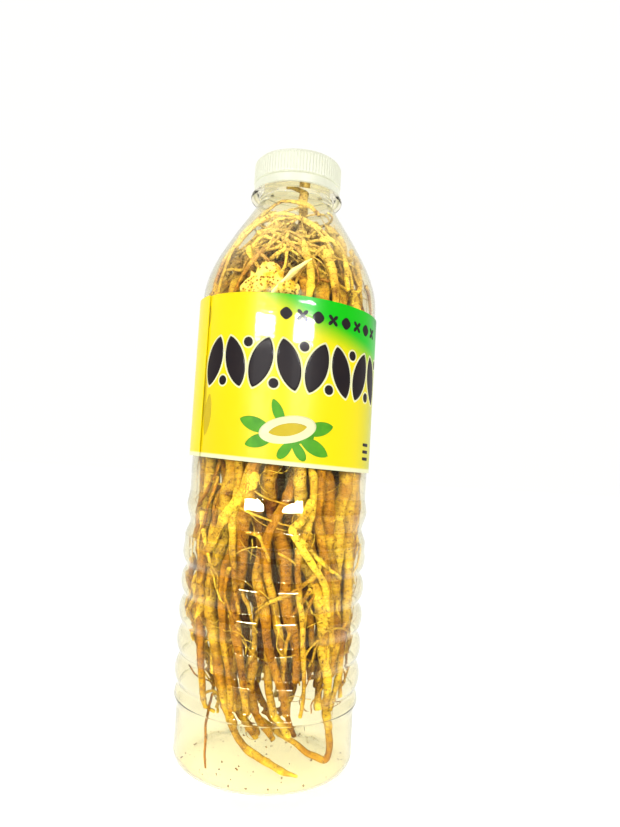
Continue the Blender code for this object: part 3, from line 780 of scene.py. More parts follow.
# %% Rings carried along a path
def waves(draw, at, angles, longest, shortest, count, size):
    """A sum of waves over distance and angle: cos(m angle + distance / length + phase), m from 0 to 3."""
    turns = draw.integers(0, 4, count)
    length = shortest * (longest / shortest) ** draw.random(count)
    phase = draw.uniform(0.0, 2 * math.pi, count)
    lean = draw.choice([-1.0, 1.0], count)
    share = (length / longest) ** 0.5
    wave = np.cos(
        turns * angles[None, :, None] + lean * (2 * math.pi * at[:, None, None] / length) + phase
    )
    return size * (share * wave).sum(axis=-1) / math.sqrt(count)


END_LEANS, END_REACH, POLE_REACH = (80.0, 55.0, 28.0), 0.70, 0.72


def carried_ring(path, radius, sides, lumps):
    """Rings square to a path: path + radius * (1 + lumps) * (across cos t + beside sin t).

    across stays square to the path and as near as it can be to the direction in which the path varies
    least, so the rings don't twist. Each end goes on over three smaller rings to a pole.
    """
    tangent = np.gradient(path, axis=0)
    tangent /= np.linalg.norm(tangent, axis=1, keepdims=True)
    least = np.linalg.svd(path - path.mean(axis=0), full_matrices=False)[2][2]
    across = least - tangent * (tangent @ least)[:, None]
    across /= np.linalg.norm(across, axis=1, keepdims=True)
    beside = np.cross(tangent, across)
    angles = 2 * math.pi * np.arange(sides) / sides
    ring = across[:, None] * np.cos(angles)[:, None] + beside[:, None] * np.sin(angles)[:, None]
    grid = path[:, None] + (radius[:, None] * (1 + lumps))[..., None] * ring
    lean = np.radians(END_LEANS)
    over = (np.cos(lean), np.sin(lean))
    first = path[0] + (grid[0] - path[0]) * over[0][:, None, None]
    first = first - END_REACH * radius[0] * tangent[0] * over[1][:, None, None]
    last = path[-1] + (grid[-1] - path[-1]) * over[0][::-1, None, None]
    last = last + END_REACH * radius[-1] * tangent[-1] * over[1][::-1, None, None]
    return np.concatenate([first, grid, last]), (
        path[0] - POLE_REACH * radius[0] * tangent[0],
        path[-1] + POLE_REACH * radius[-1] * tangent[-1],
    )


ROOT_SPACING, FINE_SPACING = 0.00075, 0.0012
KNOT_SPACING, KNOT_WIDTH, KNOT_LEAST, KNOT_MOST = 0.016, 0.0012, 0.12, 0.42
SLOW_BENDS, QUICK_BENDS = (0.011, 0.00032, 3), (0.0045, 0.00012, 3)
LUMP_LONGEST, LUMP_SHORTEST, LUMP_WAVES, LUMP_SIZE = 0.030, 0.0022, 26, 0.085
WAIST_RUN, WAIST_DEPTH, END_FADE = 0.007, 0.10, 0.004
PALE_RUN, PALE_SPREAD, PALE_END = 0.016, 0.18, 0.002


def buried(path):
    """How deep inside the bundle each place lies: 0 near the wall, rising to 1 some 15 mm in."""
    deep = inner_radius(path[:, 2]) - np.hypot(path[:, 0], path[:, 1])
    packed = np.clip((path[:, 2] - 0.020) / 0.014, 0.0, 1.0) * np.clip((0.192 - path[:, 2]) / 0.020, 0.4, 1.0)
    return packed * eased(deep, 0.0045, 0.015)


def knot_bulges(draw, at, radius, angles, spacing, width):
    """Knots on one side or another: size * exp(-(distance / width)^2) * exp(n (cos(angle) - 1)).

    n grows with the root's radius over the knot's width, so a knot is about as broad as it is long.
    """
    knots = np.zeros((len(at), len(angles)))
    count = int(at[-1] / spacing)
    knot_places = draw.uniform(0.0, at[-1], count)
    knot_sides = draw.uniform(0.0, 2 * math.pi, count)
    knot_sizes = draw.uniform(KNOT_LEAST, KNOT_MOST, count)
    for place, side, size in zip(knot_places, knot_sides, knot_sizes):
        narrow = 0.5 + 0.5 * (np.interp(place, at, radius) / width) ** 2
        bulge = np.exp(-(((at[:, None] - place) / width) ** 2))
        knots += size * bulge * np.exp(narrow * (np.cos(angles - side) - 1))
    return knots


def root_surface(
    draw, points, thick, sides, spacing, tone, roughness=1.0, kinks=1.0,
    knot_spacing=KNOT_SPACING, knot_width=KNOT_WIDTH, flat=1.0,
):
    """Points, faces and skin values of one root: (points, quads, triangles, skin, tone, crease).

    The last value is painted shade: high in the hollows between lumps, and growing with the depth in the
    bundle, where shade falls.
    """
    at, path, radius = smooth_line(points, spacing, thick)
    angles = 2 * math.pi * np.arange(sides) / sides
    fade = np.minimum(np.minimum(at, at[-1] - at) / END_FADE, 1.0)[:, None]
    path = path + kinks * fade * (wander(draw, at, *SLOW_BENDS) + wander(draw, at, *QUICK_BENDS))
    lumps = waves(draw, at, angles, LUMP_LONGEST, LUMP_SHORTEST, LUMP_WAVES, LUMP_SIZE * roughness)
    knots = knot_bulges(draw, at, radius, angles, knot_spacing, knot_width)
    waist = 1 - WAIST_DEPTH * np.clip(wander(draw, at, WAIST_RUN, 1.0), -1, 1)
    lumps = (1 + lumps + roughness * knots) * waist - 1
    lumps = (1 + lumps) / np.sqrt((np.cos(angles) / flat) ** 2 + np.sin(angles) ** 2) - 1
    grid, poles = carried_ring(path, radius, sides, lumps)
    rows = len(grid)
    along = np.concatenate([np.full(3, at[0]), at, np.full(3, at[-1])])
    body = np.concatenate([lumps[:1].repeat(3, axis=0), lumps, lumps[-1:].repeat(3, axis=0)])
    reach = np.concatenate([np.full(3, radius[0]), radius, np.full(3, radius[-1])])
    offset = draw.uniform(-1.0, 1.0, 3)
    skin = np.stack(
        [
            reach[:, None] * np.cos(angles) + offset[0],
            reach[:, None] * np.sin(angles) + offset[1],
            np.repeat(along[:, None], sides, axis=1) + offset[2],
        ],
        axis=-1,
    )
    pale = np.clip(tone - 0.25 + wander(draw, along, PALE_RUN, PALE_SPREAD) + 0.9 * body, -0.8, 0.8)
    near_end = np.exp(-np.minimum(along, along[-1] - along) / PALE_END)[:, None]
    pale = np.clip(pale + 0.35 * near_end, -0.6, 1.0)
    # Painted shade: the deeper in the bundle, the darker the skin is painted.
    shade = 0.85 * buried(path)
    shade = np.concatenate([shade[:1].repeat(3), shade, shade[-1:].repeat(3)])[:, None]
    # More painted shade in the hollows between lumps.
    painted_shade = np.clip(-2.6 * body - 0.02, 0.0, 0.7) + shade
    points = np.concatenate([grid.reshape(-1, 3), poles])
    skin = np.concatenate([skin.reshape(-1, 3), skin[0, :1], skin[-1, :1]])
    pale = np.concatenate([pale.ravel(), pale[0, :1], pale[-1, :1]])
    painted_shade = np.concatenate([painted_shade.ravel(), [0.0, 0.0]])
    ring = np.arange(sides)
    triangles = np.concatenate(
        [fan(rows * sides, ring, True), fan(rows * sides + 1, (rows - 1) * sides + ring, False)]
    )
    return points, grid_quads(rows, sides, True), triangles, skin, pale, painted_shade


def kept_inside(points):
    """The points, with any past the bottle's inside drawn back to it, as a root pressed to the wall is."""
    out = np.hypot(points[:, 0], points[:, 1])
    share = np.minimum(1.0, (inner_radius(points[:, 2]) - WALL_GAP) / np.maximum(out, 1e-6))
    return points * np.stack([share, share, np.ones_like(share)], axis=1)


def joined_surface(name, surfaces):
    """One mesh of several root surfaces, with the skin, tone and crease attributes filled in."""
    points, quads, triangles = joined(surfaces)
    mesh = make_mesh(name, kept_inside(points), quads, triangles)
    for number, label, kind, key in (
        (3, "skin", "FLOAT_VECTOR", "vector"),
        (4, "tone", "FLOAT", "value"),
        (5, "painted_shade", "FLOAT", "value"),
    ):
        values = np.concatenate([surface[number] for surface in surfaces])
        layer = mesh.attributes.new(label, kind, "POINT")
        layer.data.foreach_set(key, values.astype(np.float32).ravel())
    return mesh


def show_roots(name, surfaces, look=dried_root, replaces=()):
    """Joins root surfaces into one piece that lies in the bottle. Returns the number of its triangles."""
    mesh = faced_out(joined_surface(name, surfaces))
    show(name, mesh, look, "bottle_body", replaces)
    return len(mesh.loop_triangles)


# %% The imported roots
def strand_points(i, strand):
    """A strand's own points and radii from its top down, with any head and tail beyond the levels."""
    levels = list(range(strand["top"], strand["low"] - 1, -1))
    points = [np.array([*places[i, k], heights[k]]) for k in levels]
    thick = [radii[i, k] for k in levels]
    if "parent" not in strand and i not in HEADS:
        share = root_draw.uniform(0.0, 0.45)
        points[0] = points[0] + share * (points[1] - points[0])
    for head in HEADS.get(i, ()):
        points.insert(0, np.array(head) / 1000)
        thick.insert(0, thick[0])
    for tail in TAILS.get(i, ()):
        points.append(np.array(tail) / 1000)
        thick.append(max(thick[-1] * TAIL_TAPER, TAIL_LEAST))
    thick[-1] *= TAIL_TIP if i in TAILS else 1.0
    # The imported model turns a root's flat sides by its next draw. Here it is passed over.
    root_draw.uniform(0.0, math.pi)
    return points, thick


STEM_SIDES, FORK_SIDES = 14, 10
looks_draw = np.random.default_rng(29)
families = {}
for i, strand in enumerate(strands):
    points, thick = strand_points(i, strand)
    stem = "parent" not in strand
    tone = looks_draw.uniform(-0.25, 0.40) if stem else looks_draw.uniform(-0.1, 0.45)
    tone += 0.5 if i in TAILS else 0.0
    sides, roughness = (STEM_SIDES, 1.0) if stem else (FORK_SIDES, 0.9)
    surface = root_surface(looks_draw, points, thick, sides, ROOT_SPACING, tone, roughness)
    families.setdefault(strand.get("parent", i), []).append(surface)

root_faces = 0
for number, (stem, surfaces) in enumerate(sorted(families.items()), start=1):
    name = f"root_{number:02d}"
    root_faces += show_roots(name + "_skin", surfaces, replaces=[name])
print("roots:", len(families), "triangles:", root_faces)

# %% The rootlets under the shoulder
for number, (depth, stations) in enumerate(ROOTLETS, start=1):
    angle = np.radians([a for a, _ in stations])
    height = np.array([z for _, z in stations]) / 1000
    reach = inner_radius(height) - depth / 1000 - 0.0002
    points = np.stack([reach * np.cos(angle), reach * np.sin(angle), height], axis=1)
    thick = np.linspace(ROOTLET_RADIUS, 0.6 * ROOTLET_RADIUS, len(points))
    surface = root_surface(looks_draw, points, thick, 8, ROOT_SPACING, 0.4, kinks=1.4)
    name = f"rootlet_{number}"
    show_roots(name + "_skin", [surface], replaces=[name])
print("rootlets:", len(ROOTLETS))

# %% [markdown]
# ## Roots that fill the gaps
#
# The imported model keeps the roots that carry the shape. Between them the bottle is crammed with thinner
# ones. Each of these is the best of many random lines, the one that cuts least into what is there.

# %% Fillers between the roots
FILLERS, TRIES = 44, 90
FILLER_THICK, FILLER_THINNER = 0.0019, 0.0011

fill_draw = np.random.default_rng(53)
level_numbers = np.arange(LEVEL_COUNT)
taken = places.copy()
taken_radii = radii.copy()
taken_levels = np.array([(level_numbers >= s["low"]) & (level_numbers <= s["top"]) for s in strands])
narrow = narrowing(heights)
filler_surfaces = []
for rank in range(FILLERS):
    thick = FILLER_THICK - FILLER_THINNER * (rank / FILLERS) ** 0.7
    high = int(fill_draw.integers(13, 17))
    low = int(fill_draw.integers(0, 4))
    down = np.clip((heights[high] - heights) / 0.16, 0.0, 1.0)
    angle = fill_draw.uniform(0, 2 * math.pi, (TRIES, 1)) + fill_draw.normal(0, 0.7, (TRIES, 1)) * down
    share = np.sqrt(fill_draw.uniform(0.05, 1.0, (TRIES, 1)))
    share = share + fill_draw.normal(0, 0.12, (TRIES, LEVEL_COUNT))
    reach = np.clip(share, 0.1, 1.0) * (room - thick - 0.0004) * narrow
    line = np.stack([reach * np.cos(angle) + 0.008 * (1 - narrow), reach * np.sin(angle)], axis=-1)
    gap = np.linalg.norm(line[:, None] - taken[None], axis=-1) - taken_radii[None] - thick
    here = (level_numbers >= low) & (level_numbers <= high)
    cut = np.where(taken_levels[None] & here, np.minimum(gap, 0.0), 0.0).sum(axis=(1, 2))
    best = line[np.argmax(cut)]
    taken = np.concatenate([taken, best[None]])
    taken_radii = np.concatenate([taken_radii, np.full((1, LEVEL_COUNT), thick)])
    taken_levels = np.concatenate([taken_levels, here[None]])
    points = np.concatenate([best, heights[:, None]], axis=1)[low : high + 1][::-1]
    thin = thick * np.linspace(1.0, 0.55, len(points))
    tone = fill_draw.uniform(-0.35, 0.30)
    filler_surfaces.append(root_surface(fill_draw, points, thin, 9, FINE_SPACING, tone, roughness=1.1))
print("filling roots:", FILLERS, "triangles:", show_roots("filling_roots", filler_surfaces))

# %% [markdown]
# ## Rootlets and hairs
#
# A rootlet that lies against the wall is a walk over the bottle's inside. Its heading wanders, and with
# each step it goes down and round by the cosine and the sine of that heading. Its depth below the wall
# wanders too. Lower down, where the bundle draws in, the walk keeps farther from the wall.

# %% Walks over the wall
WALK_STEP, HEADING_RUN, DEPTH_RUN = 0.0016, 0.012, 0.014
WALK_LOWEST, WALK_HIGHEST, WALK_SHALLOWEST = 0.009, 0.1955, 0.0006


def wall_walk(draw, angle, height, length, heading, depth, swing):
    """Points of a walk over the inside wall from (angle, height), `depth` below the wall."""
    at = np.arange(0.0, length, WALK_STEP)
    course = heading + wander(draw, at, HEADING_RUN, swing)[:, 0]
    down = height - np.cumsum(np.cos(course)) * WALK_STEP
    down = np.clip(down, WALK_LOWEST, WALK_HIGHEST)
    round_wall = np.cumsum(np.sin(course)) * WALK_STEP
    wall = inner_radius(down)
    turn = angle + round_wall / np.maximum(wall, 0.012)
    below = depth * (1 + 0.5 * wander(draw, at, DEPTH_RUN, 1.0)[:, 0])
    draw_in = (0.0075 - 0.0045 * np.cos(turn)) * np.clip((0.050 - down) / 0.030, 0.0, 1.0)
    reach = wall - np.maximum(below, WALK_SHALLOWEST) - draw_in - WALK_SHALLOWEST
    reach = np.maximum(reach, 0.002)
    return np.stack([reach * np.cos(turn), reach * np.sin(turn), down], axis=1)


def walks(draw, count, high, lengths, headings, depths, thickness, tones, sides, swing):
    """Surfaces of many walks. Each pair of numbers is the least and the most of its value."""
    made = []
    for _ in range(count):
        angle = draw.uniform(0.0, 2 * math.pi)
        length = draw.uniform(*lengths)
        heading = draw.choice([-1.0, 1.0]) * draw.uniform(*headings)
        points = wall_walk(draw, angle, draw.uniform(*high), length, heading, draw.uniform(*depths), swing)
        thin = draw.uniform(*thickness) * np.linspace(1.0, 0.5, len(points))
        tone = draw.uniform(*tones)
        made.append(root_surface(draw, points, thin, sides, FINE_SPACING, tone, roughness=0.8, kinks=0.8))
    return made


# %% Rootlets and hairs against the wall
# Each row is (how many, then the least and the most of the start's height, length, heading, depth, radius
# and tone, then the sides round it and how much its heading swings).
WALKS = {
    "rootlets_below_label": (
        (84, (0.052, 0.104), (0.016, 0.052), (0.0, 0.55), (0.0008, 0.0050),
         (0.00035, 0.00095), (-0.3, 0.6), 7, 0.5),
        (22, (0.034, 0.100), (0.012, 0.030), (0.6, 1.3), (0.0005, 0.0022),
         (0.00028, 0.00050), (0.0, 0.7), 6, 0.5),
    ),
    "rootlets_above_label": (
        (46, (0.168, 0.188), (0.016, 0.030), (0.0, 0.6), (0.0008, 0.0060),
         (0.00045, 0.00110), (-0.2, 0.6), 7, 0.5),
        (36, (0.172, 0.1955), (0.022, 0.048), (0.9, 1.7), (0.0006, 0.0070),
         (0.00040, 0.00090), (0.0, 0.7), 7, 0.35),
        (40, (0.174, 0.194), (0.020, 0.040), (0.1, 1.2), (0.0050, 0.0130),
         (0.00070, 0.00150), (-0.3, 0.3), 8, 0.4),
    ),
    "root_hairs": (
        (150, (0.026, 0.106), (0.006, 0.022), (0.0, 1.6), (0.0003, 0.0030),
         (0.00012, 0.00022), (0.2, 0.9), 4, 1.1),
        (60, (0.160, 0.194), (0.006, 0.022), (0.0, 1.7), (0.0003, 0.0040),
         (0.00012, 0.00024), (0.0, 0.8), 4, 1.1),
    ),
}
walk_draw = np.random.default_rng(71)
for name, rows in WALKS.items():
    surfaces = [surface for row in rows for surface in walks(walk_draw, *row)]
    print(name, len(surfaces), "triangles:", show_roots(name, surfaces))

# %% [markdown]
# ## Roots and bits that show
#
# Some roots lie against the clear wall and catch the eye: forks under the label, tips above the base,
# a few at the shoulder. They are laid one by one along points read off the bottle. So are the pale
# knobbly crown just above the label, the peeled flake on it, and the crumbs that have fallen to the
# base. The crown is a root with many small knots, the flake a root pressed flat.

# %% Roots laid one by one
# Each is (radius, tone, then points in millimetres from one end to the other).
SHOWN_ROOTS = (
    (1.9, 0.5, ((-8, -28.4, 99), (-10.5, -28.0, 95), (-14, -26.6, 89), (-16.6, -25.4, 85.6),
                (-19.5, -23.2, 79), (-22, -20.9, 72.9), (-23.5, -19.0, 63.8), (-23.2, -18.2, 54))),
    (1.4, 0.7, ((10.6, -28.0, 91.5), (8.0, -29.0, 86.5), (5.2, -29.3, 82.8), (7.0, -28.9, 79),
                (9.5, -28.3, 75.5), (13.5, -27.0, 70), (17, -25.0, 63.8), (18.5, -23.0, 55))),
    (0.9, 1.0, ((7.4, -29.4, 79.8), (15, -26.4, 73.2), (22, -21.2, 66.9))),
    (1.7, 0.1, ((-17.5, -18.5, 46), (-15.5, -19.5, 34), (-13, -21, 25), (-9.5, -21.6, 18.8))),
    (1.4, 0.3, ((-11, -22.0, 44), (-10, -22.5, 31), (-7, -22.0, 21), (-2.5, -20.5, 14.6))),
    (1.5, -0.1, ((-5, -23.0, 42), (-5, -23.0, 30), (-2, -22.0, 21), (3, -19.5, 14.0))),
    (1.5, 0.3, ((0, -24.0, 44), (1, -24.0, 31), (3.5, -22.5, 22), (8, -19.0, 15.0))),
    (1.3, 0.0, ((4, -20.0, 42), (6, -20.5, 31), (7, -20.0, 22), (10, -17.5, 14.5))),
    (1.5, -0.2, ((-15, -14.0, 42), (-12, -15.0, 29), (-8, -14.0, 19), (-2, -13.0, 13))),
    (1.5, -0.3, ((-8, -10.0, 42), (-4, -10.0, 27), (2, -9.0, 18), (9, -9.0, 12.5))),
    (1.4, -0.2, ((10, -10.0, 42), (9, -8.0, 29), (6, -7.0, 19), (2, -6.0, 12.5))),
    (0.8, 0.2, ((23.0, -14.5, 38), (25.0, -13.6, 31), (25.2, -13.2, 25.5))),
    (0.45, -0.5, ((-17.5, -19.2, 27), (-18.5, -18.6, 16), (-18.2, -19.0, 7), (-18.0, -19.3, 3.8))),
    (0.5, 0.3, ((-16.5, -19.0, 21.5), (-19.8, -17.2, 22.5), (-20.6, -16.6, 25.5), (-17.5, -18.4, 27.5),
                (-13, -20.6, 25))),
    (0.28, -0.2, ((-26.2, -13.0, 34), (-22, -16.4, 31.5), (-17, -19.0, 29.8))),
    (1.1, 0.6, ((10, -24.4, 179.5), (13.5, -22.0, 180.5), (17, -20.5, 176.5), (18.5, -21.5, 170),
                (19, -22.5, 163))),
    (1.5, 0.3, ((3.5, -25.0, 177), (5.0, -26.2, 171), (6.0, -27.6, 164), (6.0, -28.6, 158))),
    (1.6, 0.2, ((11.5, -24.4, 175), (13.0, -25.0, 169), (14.5, -25.6, 163), (15.0, -26.2, 157))),
    (1.0, 0.5, ((-22.0, -17.0, 176), (-23.0, -18.6, 169), (-24.0, -19.0, 162), (-24.5, -18.8, 157))),
)
shown_surfaces = []
for thick, tone, points in SHOWN_ROOTS:
    thin = thick / 1000 * np.linspace(1.0, 0.72, len(points))
    shown_surfaces.append(
        root_surface(fill_draw, np.array(points) / 1000, thin, 12, ROOT_SPACING, tone, knot_spacing=0.008)
    )
print("shown roots:", len(SHOWN_ROOTS), "triangles:", show_roots("shown_roots", shown_surfaces))

# %% Knobbly crown
CROWN_STRAW, CROWN_CREAM, CROWN_PIT = (0.56, 0.31, 0.012), (0.86, 0.67, 0.17), (0.17, 0.075, 0.004)


def crown_finish():
    """Pale straw grains with dark pits between them."""
    made, tree, shader = material("crown_skin")
    cloud = cloudy(tree, object_place(tree), 300.0, 4.0, Roughness=0.65)
    grain = node(tree, "TexVoronoi", object_place(tree), Scale=900.0).outputs["Distance"]
    straw = blend(tree, ramp(tree, cloud, 0.36, 0.62), CROWN_STRAW, CROWN_CREAM)
    dress(
        tree,
        shader,
        Base_Color=blend(tree, ramp(tree, grain, 0.50, 0.20), straw, CROWN_PIT),
        Roughness=0.7,
        Specular_IOR_Level=0.1,
        Normal=bumped(tree, ramp(tree, grain, 0.05, 0.45), 0.7, 0.0004),
    )
    return made


# Each lump of the crown is (points in millimetres, then the radius at each).
CROWNS = (
    (((-15.0, -24.6, 159.5), (-11.5, -26.0, 162.0), (-7.5, -26.9, 163.8), (-3.0, -26.9, 162.0)),
     (2.2, 2.8, 3.0, 2.0)),
    (((-5.0, -26.9, 160.0), (-2.0, -27.4, 161.5), (1.5, -27.2, 160.0)), (1.8, 2.3, 1.6)),
    (((-9.0, -25.4, 166.0), (-6.5, -25.6, 167.6), (-4.0, -25.4, 166.8)), (1.2, 1.6, 1.1)),
)
crown_surfaces = [
    root_surface(
        fill_draw, np.array(points) / 1000, np.array(thick) / 1000, 40, 0.0004, 0.75, roughness=1.2,
        knot_spacing=0.00022, knot_width=0.00065,
    )
    for points, thick in CROWNS
]
print("crown triangles:", show_roots("knobbly_crown", crown_surfaces, crown_finish()))

# %% Peeled flake
BARK_CREAM, BARK_STRAW = (0.93, 0.90, 0.50), (0.90, 0.76, 0.26)


def peeled_bark():
    """Pale inner bark: cream mottled with straw."""
    made, tree, shader = material("peeled_bark")
    cloud = cloudy(tree, object_place(tree), 420.0, 4.0)
    dress(tree, shader, Base_Color=blend(tree, cloud, BARK_CREAM, BARK_STRAW), Roughness=0.6)
    return made


FLAKE = (
    (-6.0, -28.4, 158.0),
    (-3.0, -29.2, 162.0),
    (0.0, -29.4, 165.6),
    (2.5, -28.9, 168.2),
    (6.0, -27.6, 171.0),
)
FLAKE_HALF_WIDTHS, FLAKE_FLATNESS = (1.2, 2.3, 2.6, 1.3, 0.4), 0.10
flake_surface = root_surface(
    fill_draw, np.array(FLAKE) / 1000, np.array(FLAKE_HALF_WIDTHS) / 1000, 28, 0.0005, 1.0,
    roughness=1.2, knot_spacing=0.003, flat=FLAKE_FLATNESS,
)
print("flake triangles:", show_roots("bark_flake", [flake_surface], peeled_bark()))


# %% Crumbs
def crumbs_mesh(draw, count):
    """Broken bits on the bottom: eight-faced bits with every corner moved, resting on the base's dome."""
    corners = np.array([(1, 0, 0), (0, 1, 0), (-1, 0, 0), (0, -1, 0), (0, 0, 1), (0, 0, -1)], float)
    faces = np.array([(0, 1, 4), (1, 2, 4), (2, 3, 4), (3, 0, 4), (1, 0, 5), (2, 1, 5), (3, 2, 5), (0, 3, 5)])
    size = draw.uniform(0.00010, 0.00042, (count, 1, 1)) * draw.uniform(0.6, 1.4, (count, 1, 3))
    angle = draw.uniform(0.0, 2 * math.pi, count)
    reach = 0.0285 * np.sqrt(draw.uniform(0.0, 1.0, count))
    dome = BASE_DOME * np.maximum(1 - (reach / FOOT_INNER) ** 2, 0.0) ** 1.2
    heel = 0.0012 * np.clip((reach - 0.0265) / 0.002, 0.0, 1.0)
    place = np.stack([reach * np.cos(angle), reach * np.sin(angle), dome + heel + WALL + 0.0003], axis=1)
    points = place[:, None] + size * (corners + draw.normal(0.0, 0.18, (count, 6, 3)))
    triangles = (faces[None] + 6 * np.arange(count)[:, None, None]).reshape(-1, 3)
    points = points.reshape(-1, 3)
    # The crumbs get a flat 0.25 of the painted-shade value, which darkens them all alike.
    tone, painted_shade = np.full(len(points), -0.2), np.full(len(points), 0.25)
    return points, np.zeros((0, 4), int), triangles, points, tone, painted_shade


CRUMBS = 130
print("crumbs:", CRUMBS, "triangles:", show_roots("crumbs", [crumbs_mesh(fill_draw, CRUMBS)]))

# %% [markdown]
# ## The bottle
#
# The bottle is blown from clear plastic half a millimetre thick. Its outline is turned round the axis
# twice, outside and inside, as one closed wall, so light bends at both faces as it does in the real
# one. A groove's section is a cosine with its bottom drawn tighter than its edges, and the crest
# between two grooves is gently rounded, which spreads the lamps' reflections into short dashes.

# %% Bottle outline
FLANK_FROM, FLANK_RUN, FLANK_DROP = 0.0875, 0.0046, 0.0008
CREST_HALF, CREST_ROUND = 0.0021, 0.0092


def groove_cut(height):
    """How far the grooves cut into the body: depth * (1 + cos(pi x^0.8)) / 2, and the crests' own rounding.

    A crest between two grooves falls off by x^2 / 2R on either side of its middle.
    """
    cut = np.zeros_like(height)
    for middle, half, depth in GROOVES:
        x = np.clip(np.abs(height - middle) / half, 0.0, 1.0)
        cut = np.maximum(cut, depth * 0.5 * (1 + np.cos(math.pi * x ** 0.8)))
    from_crest = (height - RIB_START) % RIB_PITCH - 0.5 * RIB_PITCH
    ribbed = (height > RIB_START - RIB_HALF) & (height < RIB_START + RIB_COUNT * RIB_PITCH)
    fall = np.minimum(np.abs(from_crest), CREST_HALF) ** 2 / (2 * CREST_ROUND)
    return cut + np.where(ribbed, fall, 0.0)


def bottle_outline():
    """The outside from the middle of the base to the top of the shoulder, as (radius, height) rows."""
    share = np.linspace(0.0, 1.0, 22)
    base = np.stack([FOOT_INNER * share, BASE_DOME * (1 - share ** 2) ** 1.2], axis=1)
    turn = np.linspace(0.0, math.pi / 2, 14)
    heel = np.stack([FOOT_OUTER + HEEL_ROUND * np.sin(turn), HEEL_ROUND * (1 - np.cos(turn))], axis=1)
    height = np.arange(HEEL_ROUND + 0.0006, PANEL_TO, 0.00035)
    radius = HEEL_RADIUS + (RIB_RADIUS - HEEL_RADIUS) * eased(height, HEEL_TOP - 0.0020, HEEL_TOP + 0.0034)
    flank = FLANK_DROP * np.clip((height - FLANK_FROM) / FLANK_RUN, 0.0, 1.0)
    flank += (RIB_RADIUS - PANEL_RADIUS - FLANK_DROP) * eased(height, GRIP_Z - GRIP_HALF, GRIP_Z + GRIP_HALF)
    radius = radius - flank - groove_cut(height)
    side = np.stack([radius, height], axis=1)
    return np.concatenate([base, heel, side, shoulder(40)])


NECK_RADIUS, NECK_ROOT_RADIUS = 0.0130, 0.0136
RING_RADIUS, RING_HIGH = 0.0169, 0.2018
BEAD_OUT, BEAD_HALF, BEAD_Z, RIM_Z = 0.0010, 0.0006, 0.2047, 0.2123


def corner(radius, height, size, start, count=5):
    """A quarter-round corner of the outline, from the angle start (degrees) on through 90 more."""
    turn = np.radians(start + np.linspace(0.0, 90.0, count))
    return np.stack([radius + size * np.cos(turn), height + size * np.sin(turn)], axis=1)


def neck_outline():
    """The outside of the neck, its support ring, bead and rim, then the bore back down."""
    turn = np.linspace(-math.pi / 2, math.pi / 2, 9)
    return np.concatenate([
        [(NECK_ROOT_RADIUS, RING_LOW - 0.0012), (NECK_ROOT_RADIUS, RING_LOW - 0.0002)],
        [(NECK_ROOT_RADIUS + 0.0004, RING_LOW)],
        corner(RING_RADIUS - 0.0005, RING_LOW + 0.0005, 0.0005, -90),
        corner(RING_RADIUS - 0.0006, RING_HIGH - 0.0006, 0.0006, 0),
        [(NECK_RADIUS + 0.0003, RING_HIGH), (NECK_RADIUS, RING_HIGH + 0.0004)],
        np.stack([NECK_RADIUS + BEAD_OUT * np.cos(turn), BEAD_Z + BEAD_HALF * np.sin(turn)], axis=1),
        [(NECK_RADIUS, RIM_Z - 0.0006)],
        corner(NECK_RADIUS - 0.0004, RIM_Z - 0.0004, 0.0004, 0),
        [(BORE_RADIUS + 0.0002, RIM_Z), (BORE_RADIUS, RIM_Z - 0.0003), (BORE_RADIUS, RING_LOW - 0.0008)],
    ])


outline = bottle_outline()
BOTTLE_SIDES = 144
bottle_profile = np.concatenate([outline, neck_outline(), inward(outline, WALL)[::-1]])
bottle_profile[0, 0] = bottle_profile[-1, 0] = 0.0
print("bottle outline points:", len(bottle_profile))

# %% [markdown]
# ## Screw threads
#
# The neck and the cap have three ridges each, which start a third of a turn apart and climb 9 mm to
# the turn, so a third of a turn opens the bottle. Each ridge is a small four-cornered section carried
# along a helix and drawn down at both ends. The cap's lie half a pitch above the neck's.

# %% Screw threads
THREAD_STARTS, THREAD_LEAD, THREAD_SWEEP = 3, 0.0090, math.radians(105)
NECK_THREAD_CREST, NECK_THREAD_Z = 0.0141, 0.2066
CAP_INNER, CAP_THREAD_CREST = 0.0146, 0.0135
THREAD_ROOT_HALF, THREAD_CREST_HALF, THREAD_SUNK = 0.00062, 0.00030, 0.00015
THREAD_SPACING = THREAD_LEAD / THREAD_STARTS


def thread(name, root_radius, crest_radius, start_z):
    """Ridges that climb as they turn: a four-cornered section carried along a helix, thin at both ends."""
    out = 1.0 if crest_radius > root_radius else -1.0
    share = np.linspace(0.0, 1.0, 49)
    rise = np.minimum(np.minimum(share, 1 - share) / 0.12, 1.0)
    grids, quads, start = [], [], 0
    for begun in range(THREAD_STARTS):
        angle = begun * 2 * math.pi / THREAD_STARTS + share * THREAD_SWEEP
        middle = start_z + THREAD_LEAD * share * THREAD_SWEEP / (2 * math.pi)
        crest = root_radius + (crest_radius - root_radius) * (0.1 + 0.9 * rise)
        sunk = np.full_like(share, root_radius - out * THREAD_SUNK)
        radius = np.stack([sunk, crest, crest, sunk], axis=1)
        half = np.array([-THREAD_ROOT_HALF, -THREAD_CREST_HALF, THREAD_CREST_HALF, THREAD_ROOT_HALF])
        height = middle[:, None] + half
        turn = angle[:, None]
        grids.append(np.stack([radius * np.cos(turn), radius * np.sin(turn), height], axis=-1).reshape(-1, 3))
        quads.append(grid_quads(len(share), 4, True) + start)
        last = start + 4 * (len(share) - 1)
        ends = [[start + 3, start + 2, start + 1, start], [last, last + 1, last + 2, last + 3]]
        quads.append(np.array(ends))
        start += 4 * len(share)
    mesh = make_mesh(name, np.concatenate(grids), np.concatenate(quads))
    mesh.set_sharp_from_angle(angle=math.radians(35))
    return faced_out(mesh)


